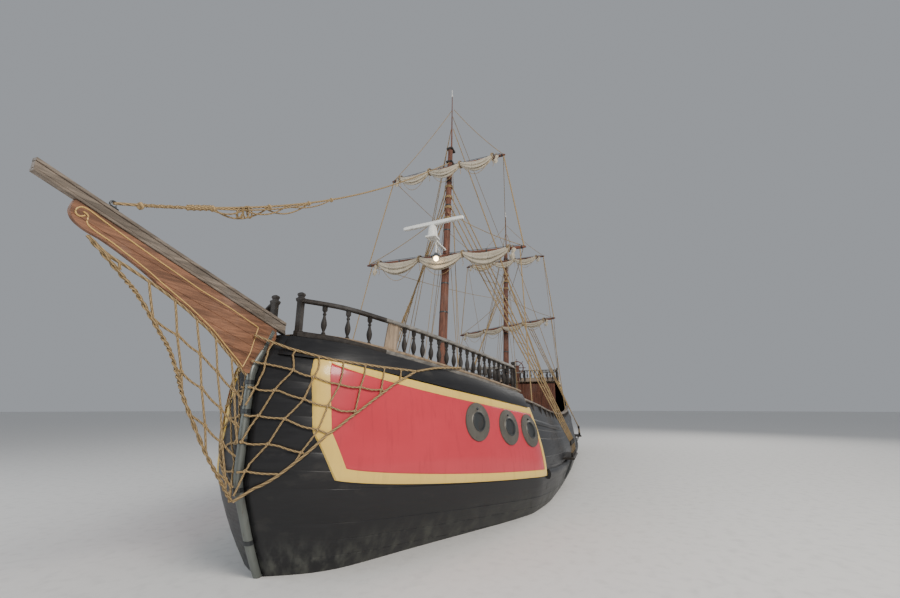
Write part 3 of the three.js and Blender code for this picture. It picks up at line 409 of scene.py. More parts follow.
def put(name, surface, look, body="hull", stands_for=(), bevel=0.0, thick=0.0, smooth=35.0, clean=False):
    """Makes the piece: its mesh from the arrays, its finish, its body and the solids it stands for."""
    paint, slot = look
    mesh = bpy.data.meshes.new(name)
    corners = np.concatenate([f.ravel() for f in surface.faces]).astype(np.int32)
    counts = np.concatenate([np.full(len(f), f.shape[1]) for f in surface.faces])
    mesh.vertices.add(len(surface.points))
    mesh.vertices.foreach_set("co", surface.points.astype(np.float32).ravel())
    mesh.loops.add(len(corners))
    mesh.loops.foreach_set("vertex_index", corners)
    mesh.polygons.add(len(counts))
    mesh.polygons.foreach_set("loop_start", np.concatenate([[0], np.cumsum(counts)[:-1]]).astype(np.int32))
    uv = np.concatenate([u.reshape(-1, 2) for u in surface.uvs]).astype(np.float32)
    mesh.uv_layers.new(name="UVMap").data.foreach_set("uv", uv.ravel())
    mesh.update(calc_edges=True)
    mesh.validate()
    if clean:
        work = bmesh.new()
        work.from_mesh(mesh)
        bmesh.ops.remove_doubles(work, verts=work.verts, dist=2e-4)
        bmesh.ops.dissolve_degenerate(work, dist=1e-4, edges=work.edges)
        if clean == "outwards":
            bmesh.ops.recalc_face_normals(work, faces=work.faces)
        work.to_mesh(mesh)
        work.free()
    mesh.shade_smooth()
    mesh.set_sharp_from_angle(angle=math.radians(smooth))
    mesh.materials.append(paint)
    piece = bpy.data.objects.new(name, mesh)
    bpy.context.scene.collection.objects.link(piece)
    if thick:
        wall = piece.modifiers.new("Wall", "SOLIDIFY")
        wall.thickness, wall.offset, wall.use_even_offset = thick, -1, False
    if bevel:
        edge = piece.modifiers.new("Edges", "BEVEL")
        edge.width, edge.segments, edge.limit_method = bevel, 2, "ANGLE"
        edge.angle_limit = math.radians(40)
        edge.harden_normals = False
    if body:
        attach(piece, body)
    if stands_for:
        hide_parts(*stands_for)
    return piece


def sides_of(*names):
    """The port and starboard nodes of each name."""
    return [f"{name}_{way}" for name in names for way in ("port", "starboard")]


# Finishes
def operation(kind, swapped=False):
    """A method that joins two values with a Math node."""

    def method(self, other=0.0):
        pair = (other, self) if swapped else (self, other)
        return self.paint.node("ShaderNodeMath", {"operation": kind}, dict(enumerate(pair)))

    return method


class Value:
    """A socket that takes part in sums: each operator adds a Math node."""

    def __init__(self, paint, socket):
        self.paint, self.socket = paint, socket

    __add__, __radd__ = operation("ADD"), operation("ADD", True)
    __sub__, __rsub__ = operation("SUBTRACT"), operation("SUBTRACT", True)
    __mul__, __rmul__ = operation("MULTIPLY"), operation("MULTIPLY", True)
    __truediv__, __pow__, sine = operation("DIVIDE"), operation("POWER"), operation("SINE")

    def between(self, low, high):
        """Zero below low and one above high, with a smooth step between."""
        inputs = {"Value": self, "From Min": low, "From Max": high}
        return self.paint.node("ShaderNodeMapRange", {"interpolation_type": "SMOOTHSTEP"}, inputs)


class Paint:
    """One finish: a Principled shader, and the nodes that feed it."""

    def __init__(self, name, **settings):
        self.material = bpy.data.materials.new(name)
        self.material.use_nodes = True
        self.tree = self.material.node_tree
        self.tree.nodes.clear()
        output = self.tree.nodes.new("ShaderNodeOutputMaterial")
        self.shader = self.tree.nodes.new("ShaderNodeBsdfPrincipled")
        self.tree.links.new(self.shader.outputs[0], output.inputs[0])
        self.set(**settings)

    def set(self, **settings):
        """Sets or links the shader's sockets, named with _ for a space."""
        for key, value in settings.items():
            self._feed(self.shader.inputs[key.replace("_", " ")], value)

    def _feed(self, socket, value):
        if isinstance(value, Value):
            self.tree.links.new(value.socket, socket)
        elif isinstance(value, (tuple, list)) and len(value) == 3 and socket.type == "RGBA":
            socket.default_value = (*value, 1.0)
        else:
            socket.default_value = value

    def node(self, kind, settings=None, inputs=None, output=0):
        """Any other node: its settings first, then the values or links of its sockets."""
        made = self.tree.nodes.new(kind)
        for key, value in (settings or {}).items():
            setattr(made, key, value)
        for key, value in (inputs or {}).items():
            self._feed(made.inputs[key], value)
        return Value(self, made.outputs[output])

    def split(self, kind):
        """The parts of a point's coordinates: Object in metres, or UV with u across and v along the piece."""
        parts = self.node("ShaderNodeSeparateXYZ", {}, {0: self.node("ShaderNodeTexCoord", output=kind)})
        return [Value(self, socket) for socket in parts.socket.node.outputs]

    def noise(self, scale, stretch=EVEN, detail=4.0, rough=0.55, distort=0.0, turn=(0, 0, 0)):
        """Cloudy noise from 0 to 1, over object coordinates that are turned and then stretched."""
        coords = self.node("ShaderNodeTexCoord", output="Object")
        places = self.node("ShaderNodeMapping", {}, {"Vector": coords, "Rotation": turn, "Scale": stretch})
        inputs = {"Vector": places, "Scale": scale, "Detail": detail, "Roughness": rough,
                  "Distortion": distort}
        return self.node("ShaderNodeTexNoise", {}, inputs)

    def mix(self, share, a, b):
        """Colour a where share is 0 and b where it is 1."""
        return self.node("ShaderNodeMix", {"data_type": "RGBA"}, {0: share, 6: a, 7: b}, 2)

    def bump(self, height, distance):
        """Feeds a height to the shader's normal, as deep as distance."""
        inputs = {"Height": height, "Distance": distance, "Strength": 1.0}
        self.set(Normal=self.node("ShaderNodeBump", {}, inputs))


FINISHES = {}
# The library's slot for each finish or colour whose name is not its slot's.
SLOTS = {
    "hull_paint": "black_paint", "red": "red_paint", "cream": "cream_paint", "gold": "cream_paint",
    "deck_wood": "deck_plank", "red_brown": "varnished_plank", "knee_brown": "varnished_plank",
    "worn_rail": "dark_timber", "pale_timber": "dark_timber", "port_iron": "dark_iron", "glass": "dark_iron",
    "glow": "white_paint", "laid_rope": "rope", "floor": None,
}


def finish(make):
    """Keeps each finish that a function makes, once for each set of values, and gives it with its slot."""

    def kept(*values):
        key = (make.__name__, values)
        if key not in FINISHES:
            name = values[0] if values and isinstance(values[0], str) else make.__name__
            FINISHES[key] = (make(*values).material, SLOTS.get(name, name))
        return FINISHES[key]

    kept.__doc__ = make.__doc__
    return kept


def colour(name):
    """A colour from the scene's settings."""
    return tuple(getattr(bpy.context.scene.galleon_colours, name))


def tint(base, share, more=0.0):
    """A colour made lighter or darker, at most white."""
    return tuple(min(1.0, share * c + more) for c in base)


@finish
def hull_paint():
    """Black satin paint on planks: brush streaks along them, dusty scuffs, and salt near the water."""
    p = Paint("black hull paint", IOR=1.45)
    streaks = p.noise(3.0, (0.6, 1.5, 9), 6.0)
    scuffs = p.noise(2.2, (1, 1, 1.6), 8.0, 0.62).between(0.56, 0.74)
    low = 1 - p.split("Object")[2].between(0.05, 0.75)
    salt = low * p.noise(5.0, (1.2, 1.2, 0.35), 7.0).between(0.4, 0.7)
    base = p.mix(streaks, colour("black"), tint(colour("black"), 2.2))
    base = p.mix(scuffs * 0.5, base, (0.045, 0.042, 0.038))
    base = p.mix(salt * 0.55, base, (0.13, 0.135, 0.115))
    p.set(Base_Color=base, Roughness=0.3 + 0.22 * streaks + 0.2 * scuffs + 0.25 * salt)
    p.bump(streaks * 0.5 + p.noise(14.0, (0.5, 0.5, 3)) * 0.5, 0.0025)
    return p


@finish
def panel_paint(name):
    """Gloss paint over boards: soft fading, faint runs below the fittings and a slow wave in the gloss."""
    p = Paint(name + " paint", Coat_Weight=0.35, Coat_Roughness=0.12)
    fade = p.noise(0.8, (0.7, 0.7, 1.2), 5.0)
    runs = p.noise(6.0, (1.6, 1.6, 0.25), 6.0).between(0.5, 0.78)
    base = colour(name)
    worn = p.mix(fade, tint(base, 0.8), tint(base, 1.15, 0.015))
    dirty = p.mix(runs * 0.22, worn, tint(base, 0.35))
    p.set(Base_Color=dirty, Roughness=0.26 + 0.16 * fade + 0.12 * runs)
    p.bump(p.noise(1.6, EVEN, 2.0) * 0.8 + p.noise(30.0, EVEN, 2.0) * 0.05, 0.012)
    return p


@finish
def timber(name, along, tilt=(0, 0, 0)):
    """Wood with its grain along one axis: long fibres, slow bands of colour and weather-grey wear."""
    p = Paint(name.replace("_", " "), IOR=1.45)
    scale = {"x": (0.7, 9, 9), "y": (9, 0.7, 9), "z": (9, 9, 0.7)}[along]
    grain = p.noise(1.6, scale, 7.0, 0.6, 0.5, tilt)
    fibre = p.noise(9.0, scale, 4.0, 0.7, 0.0, tilt)
    wear = p.noise(1.3, EVEN, 8.0, 0.65).between(0.5, 0.72)
    base = colour(name)
    dark = tint(base, 0.45)
    light = tint(base, 1.35)
    grey = tint(base, 0.5, 0.10)
    tone = p.mix(grain.between(0.3, 0.7), dark, light)
    tone = p.mix(fibre.between(0.45, 0.6) * 0.4, tone, dark)
    p.set(Base_Color=p.mix(wear * 0.45, tone, grey), Roughness=0.5 + 0.25 * fibre + 0.15 * wear)
    p.bump(fibre * 0.6 + grain * 0.4, 0.004)
    return p


@finish
def deck_wood():
    """Scrubbed deck planks, grain along the ship: a row is breadth over plank width, with its own tone."""
    p = Paint("deck planks", IOR=1.45)
    row = p.node("ShaderNodeMath", {"operation": "FLOOR"}, {0: p.split("Object")[1] / DECK_PLANK + 100.5})
    planks = p.node("ShaderNodeTexWhiteNoise", {"noise_dimensions": "1D"}, {"W": row})
    grain = p.noise(1.8, (0.6, 12, 3), 7.0, 0.6, 0.3)
    damp = p.noise(0.7, EVEN, 6.0).between(0.45, 0.7)
    tone = p.mix(grain.between(0.3, 0.7), (0.17, 0.115, 0.07), (0.36, 0.26, 0.165))
    tone = p.mix(planks * 0.45, tone, (0.24, 0.18, 0.125))
    tone = p.mix(damp * 0.35, tone, (0.12, 0.085, 0.055))
    p.set(Base_Color=tone, Roughness=0.55 + 0.25 * grain)
    p.bump(grain, 0.003)
    return p


@finish
def metal(name, metallic):
    """Painted or bare metal: dents, dull patches and rust-brown runs from the joints."""
    p = Paint(name.replace("_", " "), Metallic=metallic)
    base = colour(name)
    dull = p.noise(3.5, (1, 1, 0.5), 7.0)
    runs = p.noise(7.0, (2, 2, 0.3), 6.0).between(0.56, 0.74)
    tone = p.mix(dull, tint(base, 0.55), tint(base, 1.25))
    p.set(Base_Color=p.mix(runs * 0.4, tone, (0.10, 0.055, 0.03)), Roughness=0.3 + 0.3 * dull + 0.2 * runs)
    p.bump(dull + p.noise(18.0) * 0.3, 0.004)
    return p


@finish
def plain(name, rough):
    """An even coat of paint or a smooth casting, with a little orange peel and dust."""
    p = Paint(name.replace("_", " "))
    dust = p.noise(4.0, (1, 1, 0.6), 7.0).between(0.45, 0.75)
    base = colour(name)
    p.set(Base_Color=p.mix(dust * 0.3, base, tint(base, 0.6, 0.02)), Roughness=rough + 0.2 * dust)
    p.bump(p.noise(26.0), 0.002)
    return p


@finish
def glass():
    """Dark panes with a film of salt."""
    p = Paint("dark glass", Coat_Weight=0.6, Coat_Roughness=0.05)
    film = p.noise(5.0, EVEN, 6.0).between(0.4, 0.75)
    p.set(Base_Color=p.mix(film * 0.5, (0.012, 0.016, 0.018), (0.06, 0.062, 0.058)),
          Roughness=0.08 + 0.25 * film)
    return p


@finish
def canvas():
    """Off-white sailcloth: sewn panels, a plain weave, water stains and darker folds."""
    p = Paint("sailcloth", Sheen_Weight=0.25, Sheen_Roughness=0.6)
    u, v = p.split("UV")[:2]
    seam = 1 - ((v * (math.pi / 0.61)).sine() ** 2).between(0.0, 0.012)
    stain = p.noise(1.7, EVEN, 8.0, 0.62).between(0.42, 0.72)
    weave = (v * 900.0).sine() * (u * 900.0).sine()
    base = colour("canvas")
    tone = p.mix(stain * 0.55, base, tint(base, 0.62))
    tone = p.mix(seam * 0.45, tone, tint(base, 0.5))
    p.set(Base_Color=tone, Roughness=0.82 + 0.1 * stain)
    p.bump(weave * 0.12 + p.noise(16.0, EVEN, 5.0) * 0.5 + seam * 0.4, 0.006)
    return p


@finish
def laid_rope(pitch):
    """Three-strand rope: stripes that wind round it, with hairy, sun-bleached strands."""
    p = Paint(f"laid rope {pitch}")
    u, v = p.split("UV")[:2]
    strand = ((u * 3 + v / pitch) * (2 * math.pi)).sine() * 0.5 + 0.5
    hair = p.noise(60.0, EVEN, 4.0, 0.7)
    bleach = p.noise(1.5, EVEN, 5.0)
    base = colour("rope")
    # painted shade and highlight: the grooves between the strands are painted darker and the strand crowns
    # lighter
    tone = p.mix(strand, tint(base, 0.42), tint(base, 1.3))
    tone = p.mix(bleach * 0.5, tone, tint(base, 0.7))
    p.set(Base_Color=tone, Roughness=0.8 + 0.15 * hair)
    p.bump(strand * 0.8 + hair * 0.35, 0.12 * pitch)
    return p


@finish
def glow():
    """A lit bulb."""
    p = Paint("lit bulb", Emission_Strength=14.0)
    p.set(Base_Color=(1.0, 0.85, 0.6), Emission_Color=(1.0, 0.74, 0.4), Roughness=0.3)
    return p


# Settings
def length(name, description, default):
    """A length in metres."""
    return bpy.props.FloatProperty(name=name, description=description, default=default, min=0.0,
                                   unit="LENGTH")


def shade(name, description, default):
    """A colour."""
    return bpy.props.FloatVectorProperty(
        name=name, description=description, default=default, size=3, min=0.0, max=1.0, subtype="COLOR"
    )


class GalleonSizes(bpy.types.PropertyGroup):
    """Sizes of the dressing."""

    strake_wide: length("Strake", "Width of a hull plank at midship", 0.21)
    seam_deep: length("Seam", "Depth of the seam between two hull planks", 0.008)
    baluster_step: length("Balusters", "Distance between the balusters of the forecastle rail", 0.235)
    wide_step: length("Fore balusters", "Distance between the balusters near the stem", 0.43)
    net_rope: length("Net rope", "Radius of the bow net's rope", 0.0155)
    shroud_rope: length("Shroud", "Radius of a shroud", 0.021)
    ratline_step: length("Ratlines", "Height between two ratlines", 0.4)
    line_rope: length("Running line", "Radius of a running line", 0.0135)


class GalleonColours(bpy.types.PropertyGroup):
    """Colours of the finishes."""

    black: shade("Hull", "Black hull paint", (0.0075, 0.0075, 0.0085))
    red: shade("Panel", "Red panel paint", (0.6, 0.03, 0.05))
    cream: shade("Border", "Cream border paint", (0.93, 0.6, 0.13))
    gold: shade("Gold line", "Painted gold line on the knee", (0.62, 0.4, 0.13))
    red_brown: shade("Spars", "Reddish-brown varnished wood", (0.17, 0.065, 0.038))
    knee_brown: shade("Knee", "Warm brown boards of the knee", (0.25, 0.115, 0.062))
    grey_timber: shade("Bowsprit", "Weathered grey-brown wood", (0.2, 0.16, 0.125))
    dark_timber: shade("Rail", "Dark painted rail wood", (0.03, 0.024, 0.02))
    worn_rail: shade("Handrail", "Greyish worn handrail", (0.2, 0.185, 0.165))
    pale_timber: shade("Rail board", "Light plank in the rail", (0.34, 0.25, 0.17))
    stem_metal: shade("Stem", "Metal cladding of the stem", (0.2, 0.215, 0.2))
    dark_iron: shade("Iron", "Dark grey iron", (0.06, 0.065, 0.068))
    port_iron: shade("Portholes", "Grey porthole castings", (0.15, 0.14, 0.12))
    white_paint: shade("Radar", "White radar paint", (0.82, 0.82, 0.78))
    canvas: shade("Sails", "Off-white sailcloth", (0.5, 0.44, 0.335))
    rope: shade("Rope", "Tan manila rope", (0.42, 0.29, 0.14))
    bronze: shade("Bronze", "Propeller bronze", (0.3, 0.17, 0.06))
    antifouling: shade("Bottom", "Dull red bottom paint", (0.12, 0.025, 0.02))
    floor: shade("Floor", "Pale floor of the studio", (0.78, 0.77, 0.75))


class GalleonStage(bpy.types.PropertyGroup):
    """The camera, as the photograph was taken."""

    lens: bpy.props.FloatProperty(name="Lens", description="Focal length on a 36 mm sensor", default=16.8)
    pitch: bpy.props.FloatProperty(name="Pitch", description="Upward tilt in degrees", default=14.54)
    station: bpy.props.FloatProperty(name="Station", description="Camera's station aft of the stem",
                                     default=-5.9)
    breadth: length("Breadth", "Camera's distance to port of the centreline", 5.28)
    height: length("Height", "Camera's height over the waterline", 2.55)


# Hull
def plank_levels(count, seam):
    """Shares of the height from keel to sheer: each plank's foot, just over it, and just under its head."""
    edges = np.linspace(0, 1, count + 1)
    return np.sort(np.concatenate([edges, edges[:-1] + seam, edges[1:] - seam]))


def hull_top(section):
    """Top of the side: the forecastle deck, then the waist rail, then the main deck below the aft castle."""
    top = np.where(section <= FORECASTLE_BREAK, sheer_z(section) - DECK_THICK, sheer_z(section) - RAIL_DROP)
    return np.where(section > CASTLE_BREAK, sheer_z(section) - DECK_DROP + 0.02, top)


class GALLEON_OT_hull(bpy.types.Operator):
    """Planks the hull from keel to rail, with seams, a transom and the forecastle's break"""

    bl_idname = "galleon.hull"
    bl_label = "Hull planking"

    def execute(self, context):
        sizes = context.scene.galleon_sizes
        near = LENGTH * np.linspace(0, 1, 110) ** 1.35
        breaks = [FORECASTLE_BREAK, FORECASTLE_BREAK + 0.002, CASTLE_BREAK, CASTLE_BREAK + 0.002]
        section = np.sort(np.concatenate([near, breaks]))
        count = round((sheer_z(LOW_STATION) - KEEL) / sizes.strake_wide)
        share = plank_levels(count, 0.0022)
        in_seam = np.isclose(share * count % 1, 0) & (share > 0.3) & (share < 0.999)
        z = KEEL + (sheer_z(section)[:, None] - KEEL) * share[None]
        z = np.minimum(z, hull_top(section)[:, None])
        port = side(section[:, None], z, -sizes.seam_deep * in_seam[None])
        transom = port[-1][:, None] * xyz(1, np.linspace(1, -1, 15), 1)
        foot = np.stack([port[:, 0], flip(port[:, 0])], 1)
        shape = together([both(grid(port)), grid(transom), grid(foot)])
        nodes = ["hull", "forecastle", *sides_of("bulwark")]
        put("hull_planking", shape, hull_paint(), stands_for=nodes, thick=0.09, smooth=28, clean="outwards")
        forecastle_break()
        return {"FINISHED"}


def forecastle_break():
    """The upright boards under the break of the forecastle, with a panelled door and frames."""
    top = sheer_z(FORECASTLE_BREAK) - DECK_THICK
    foot = deck_top(FORECASTLE_BREAK) - 0.03
    x = BOW - FORECASTLE_BREAK
    y = np.arange(-BREAK_HALF, BREAK_HALF, DECK_PLANK)
    boards = blocks(xyz(x - 0.06, y + 0.004, foot), xyz(x - 0.005, y + DECK_PLANK - 0.004, top))
    put("forecastle_break", boards, timber("dark_timber", "z"), bevel=0.006)
    head = top - 0.12
    lows, highs = [], []
    for middle in (-2.0, 0.0, 2.0):
        for y0, y1, z0, z1 in ((-0.42, -0.34, foot, head), (0.34, 0.42, foot, head),
                               (-0.42, 0.42, head, top - 0.04)):
            lows.append((x - 0.095, middle + y0, z0))
            highs.append((x - 0.055, middle + y1, z1))
    put("forecastle_door_frames", blocks(lows, highs), timber("red_brown", "z"), bevel=0.008)


# Bands and panels on the side
def band(sections, low, high, rows, out, depth=0.05, rounding=0.0):
    """A layer on the side between two heights, its face bulging out by rounding * sin of the share."""
    share = np.linspace(0, 1, rows)
    z = low(sections)[:, None] + (high(sections) - low(sections))[:, None] * share[None]
    lift = out + rounding * np.sin(np.pi * share)[None]
    return solid(rounded(sections[:, None], z, lift, -depth))


def rounded(section, z, out, back):
    """Rings of points: a face on the side, moved out, and the same face moved back in reverse."""
    return np.concatenate([side(section, z, out), side(section, z, back)[:, ::-1]], 1)


def raised(height_of, more):
    """The height of a line along the ship, plus a rise."""
    return lambda section: height_of(section) + more


PANEL_AFT = 5.87
PANEL_BORDER = 0.165
PANEL_FORE = np.array([(1.40, 0.68), (2.18, 0.44), (3.40, 0.42)])


def panel_low(section):
    """Lower edge of the red panel."""
    return wale_z(section) - 0.04


def panel_high(section):
    """Upper edge of the red panel, under the black strake."""
    return sheer_z(section) - 0.38


def panel_places(inset, columns, rows):
    """Sections and heights over the panel: a grid between its four edges, each moved in by inset."""
    i = np.linspace(0, 1, columns)[:, None]
    j = np.linspace(0, 1, rows)[None]
    guess = PANEL_AFT * i
    low = panel_low(guess) + inset
    z = low + (panel_high(guess) - inset - low) * j
    fore = np.interp(z, PANEL_FORE[:, 0], PANEL_FORE[:, 1]) + inset
    aft = section_of(PANEL_AFT - inset, z)
    return fore + (aft - fore) * i**1.3, z


class GALLEON_OT_panels(bpy.types.Operator):
    """Lays the red panel, its cream border, the black strake above and the wale on both sides"""

    bl_idname = "galleon.panels"
    bl_label = "Bow panels and wales"

    def execute(self, context):
        section, z = panel_places(PANEL_BORDER - 0.01, 70, 40)
        skin = both(grid(side(section, z, 0.03)))
        put("panel_skin", skin, panel_paint("red"), stands_for=sides_of("panel"), thick=0.06)
        add_border()
        for name, start, end, low, high, rows, out, rounding, nodes in (
            ("sheer_strakes", 0.09, FORECASTLE_BREAK, raised(panel_high, -0.02), raised(sheer_z, -DECK_THICK),
             9, 0.062, 0.012, sides_of("sheer_strake")),
            ("wales", 6.05, LENGTH - 0.03, raised(wale_z, -0.13), raised(wale_z, 0.11),
             9, 0.06, 0.04, sides_of("wale")),
            ("upper_wales", 6.0, CASTLE_BREAK, raised(sheer_z, -0.78), raised(sheer_z, -0.66),
             5, 0.02, 0.02, ()),
        ):
            shape = band(np.linspace(start, end, 90), low, high, rows, out, rounding=rounding)
            put(name, both(shape), hull_paint(), stands_for=nodes)
        return {"FINISHED"}


def add_border():
    """The border is a ring of four strips: a rounded profile carried round the panel's edge."""
    outer_s, outer_z = panel_places(0.0, 70, 40)
    inner_s, inner_z = panel_places(PANEL_BORDER, 70, 40)

    def edge(a):
        """The values once round a grid's edge: aft along the foot, up, forward along the head and down."""
        return np.concatenate([a[:-1, 0], a[-1, :-1], a[:0:-1, -1], a[0, :0:-1]])

    share = np.linspace(0, 1, 7)[None]
    s = edge(outer_s)[:, None] * (1 - share) + edge(inner_s)[:, None] * share
    z = edge(outer_z)[:, None] * (1 - share) + edge(inner_z)[:, None] * share
    lift = 0.034 + 0.012 * np.minimum(1, 4 * np.minimum(share, 1 - share))
    ring = rounded(s, z, lift, -0.03)
    border = both(grid(np.concatenate([ring, ring[:1]]), around=True))
    put("panel_borders", border, panel_paint("cream"), stands_for=sides_of("panel_border"), clean="outwards")


PORTHOLES = {"fore": (3.22, 2.26), "middle": (4.32, 2.11), "aft": (5.24, 2.00)}


def on_side(station, z, out):
    """A place on the port side and its frame: across ahead, up the side and straight out."""
    section = float(section_of(station, z))
    place = side(section, z, out)
    ahead = unit(side(section - 0.1, z, out) - side(section + 0.1, z, out))
    up = unit(side(section, z + 0.1, out) - side(section, z - 0.1, out))
    normal = unit(np.cross(up, ahead))
    up = np.cross(ahead, normal)
    return place, np.stack([ahead, -up, normal], 1)


class GALLEON_OT_portholes(bpy.types.Operator):
    """Casts the six portholes: a wide flange, a few screws, a dark rim with its catch and dark glass"""

    bl_idname = "galleon.portholes"
    bl_label = "Portholes"

    def execute(self, context):
        flange = lathe(
            [(0.405, -0.08), (0.405, 0.012), (0.397, 0.024), (0.37, 0.029), (0.24, 0.031), (0.226, 0.037),
             (0.216, 0.046), (0.2, 0.046), (0.194, 0.03), (0.192, -0.08)], 48)
        rim = lathe([(0.204, 0.03), (0.208, 0.052), (0.2, 0.06), (0.182, 0.057), (0.171, 0.04),
                     (0.168, 0.0)], 48)
        screw = lathe([(0.011, 0.0), (0.011, 0.006), (0.008, 0.009), (0.002, 0.01)], 8)
        a = 2 * np.pi * (np.arange(8) + 0.5) / 8
        screws = screw.copies(xyz(0.35 * np.cos(a), 0.35 * np.sin(a), 0.029))
        catch = lathe([(0.026, 0.02), (0.026, 0.045), (0.018, 0.052), (0.004, 0.054)], 14)
        pane = lathe([(0.18, -0.01), (0.18, 0.016), (0.12, 0.021), (0.004, 0.023)], 40)
        parts = {
            "casting": (together([flange, screws]), metal("port_iron", 0.5)),
            "rim": (together([rim, catch.copies([(0, -0.27, 0.004)])]), metal("dark_iron", 0.5)),
            "glass": (pane, glass()),
        }
        for name, (station, z) in PORTHOLES.items():
            place, turn = on_side(station, z, 0.03)
            for way, sign in WAYS:
                for part, (shape, look) in parts.items():
                    nodes = [f"porthole_{name}_{way}"] if part == "casting" else ()
                    put(f"porthole_{part}_{name}_{way}", shape.moved(turn, place).on(sign), look,
                        stands_for=nodes)
        return {"FINISHED"}


# Decks
def planked_deck(start, end, top, edge):
    """Deck planks: rows along the ship at each plank's two edges and its seam, cut to the deck's edge.

    The breadth of row k is k * DECK_PLANK, held within the edge at each station.
    """
    stations = np.linspace(start, end, 40)
    half = edge(stations)
    count = int(half.max() / DECK_PLANK) + 1
    lines = (np.arange(-count, count + 1)[:, None] * DECK_PLANK + np.array([-0.004, 0, 0.004])[None]).ravel()
    lines = lines + DECK_PLANK / 2
    deep = np.tile([0, 0.006, 0], 2 * count + 1)
    y = np.clip(lines[:, None], -half[None], half[None])
    inside = np.abs(lines)[:, None] < half[None] - 0.002
    z = top(stations)[None] - deep[:, None] * inside
    return grid(at(stations, y, z), turn=True)


class GALLEON_OT_decks(bpy.types.Operator):
    """Planks the forecastle, the main deck and the quarter deck"""

    bl_idname = "galleon.decks"
    bl_label = "Decks"

    def execute(self, context):
        def inner(z_of, inset):
            """A deck's edge: the half-breadth at the deck's height, less an inset."""
            return lambda s: half_breadth(section_of(s, z_of(s)), z_of(s)) - inset

        bow_start = station_of(0.26, sheer_z(0.26))
        for node, start, end, top, inset, thick in (
            ("forecastle_deck", bow_start, FORECASTLE_BREAK - 0.01, sheer_z, -0.03, DECK_THICK),
            ("main_deck", FORECASTLE_BREAK + 0.003, LENGTH - 0.9, deck_top, 0.125, DECK_THICK),
            ("quarter_deck", CASTLE_BREAK - 0.15, LENGTH + 0.1, castle_top, -0.04, QUARTER_DECK_THICK),
        ):
            surface = planked_deck(start, end, top, inner(top, inset))
            put(f"{node}_planks", surface, deck_wood(), stands_for=[node], thick=thick, smooth=25,
                clean="merge")
        return {"FINISHED"}


# Rails
BALUSTER = [
    (0.030, 0.075), (0.036, 0.09), (0.036, 0.105), (0.024, 0.12), (0.022, 0.135), (0.03, 0.155),
    (0.043, 0.19), (0.052, 0.235), (0.053, 0.275), (0.045, 0.32), (0.031, 0.37), (0.024, 0.41),
    (0.023, 0.425), (0.034, 0.44), (0.034, 0.455), (0.024, 0.468), (0.024, 0.485), (0.036, 0.5),
    (0.036, 0.512), (0.03, 0.52),
]
HANDRAIL = [
    (-0.06, 0.0), (-0.068, 0.012), (-0.06, 0.03), (-0.05, 0.058), (-0.03, 0.074), (0.0, 0.08),
    (0.03, 0.074), (0.05, 0.058), (0.06, 0.03), (0.068, 0.012), (0.06, 0.0),
]
SILL = [(-0.095, -0.03), (-0.1, -0.01), (-0.1, 0.03), (-0.085, 0.05), (-0.055, 0.068), (0.055, 0.068),
        (0.085, 0.05), (0.1, 0.03), (0.1, -0.01), (0.095, -0.03)]
WAIST_CAP = [(-0.1, 0.0), (-0.108, 0.02), (-0.1, 0.045), (-0.08, 0.06), (0.08, 0.06), (0.1, 0.045),
             (0.108, 0.02), (0.1, 0.0)]
HANDRAIL_UP = 0.6
BOARD_AT = 1.64
BOARD_LONG = 0.29
POST_PROFILE = [(0.085, -0.02), (0.085, 0.07), (0.068, 0.085), (0.068, 0.6), (0.085, 0.62), (0.095, 0.65),
                (0.095, 0.67), (0.06, 0.69), (0.055, 0.705), (0.075, 0.735), (0.07, 0.765), (0.035, 0.785),
                (0.004, 0.79)]


def spaced(path, start, end, step):
    """Points evenly spaced along a path between two lengths."""
    run = lengths(path)
    end = run[-1] if end is None else end
    count = max(1, int(round((end - start) / step)))
    where = start + (np.arange(count) + 0.5) * (end - start) / count
    return xyz(*[np.interp(where, run, values) for values in path.T])


def railing(paths):
    """A sill along each path and a handrail over it."""
    handrails = [carried(p + (0, 0, HANDRAIL_UP), HANDRAIL) for p in paths]
    return together(handrails + [carried(p, SILL) for p in paths])


def turned_balusters(places):
    """Balusters: the turned vase between two square blocks, one at each place."""
    places = np.asarray(places)
    shaft = lathe(BALUSTER, 12).copies(places)
    foot = blocks(places + (-0.034, -0.034, 0.05), places + (0.034, 0.034, 0.085))
    head = blocks(places + (-0.034, -0.034, 0.51), places + (0.034, 0.034, 0.61))
    return together([shaft, foot, head])


def newel(places):
    """Posts with a moulded cap and a knob: a four-sided lathe turned by an eighth."""
    square = lathe(POST_PROFILE, 4)
    c = math.cos(math.pi / 4)
    turn = np.array([[c, -c, 0], [c, c, 0], [0, 0, 1]])
    return square.moved(turn).copies(places)


class GALLEON_OT_rails(bpy.types.Operator):
    """Turns the balustrades of the forecastle and the quarter deck, and caps the waist"""

    bl_idname = "galleon.rails"
    bl_label = "Rails"

    def execute(self, context):
        sizes = context.scene.galleon_sizes
        forecastle_rail(sizes)
        quarter_deck_rail(sizes)
        sections = np.linspace(FORECASTLE_BREAK + 0.001, CASTLE_BREAK - 0.001, 80)
        centre = side(sections, sheer_z(sections) - RAIL_DROP, -0.055)
        caps = both(carried(centre, WAIST_CAP))
        put("waist_caps", caps, timber("grey_timber", "x"), stands_for=sides_of("cap_rail"))
        s = BOW - side(np.arange(6.4, 21.8, 0.95), 0)[:, 0]
        y = half_breadth(s, sheer_z(s) - 0.7) - 0.115
        lows = xyz(BOW - s - 0.05, y - 0.09, deck_top(s) - 0.02)
        highs = xyz(BOW - s + 0.05, y + 0.02, sheer_z(s) - RAIL_DROP)
        put("waist_stanchions", both(blocks(lows, highs)), timber("dark_timber", "z"), bevel=0.01)
        return {"FINISHED"}


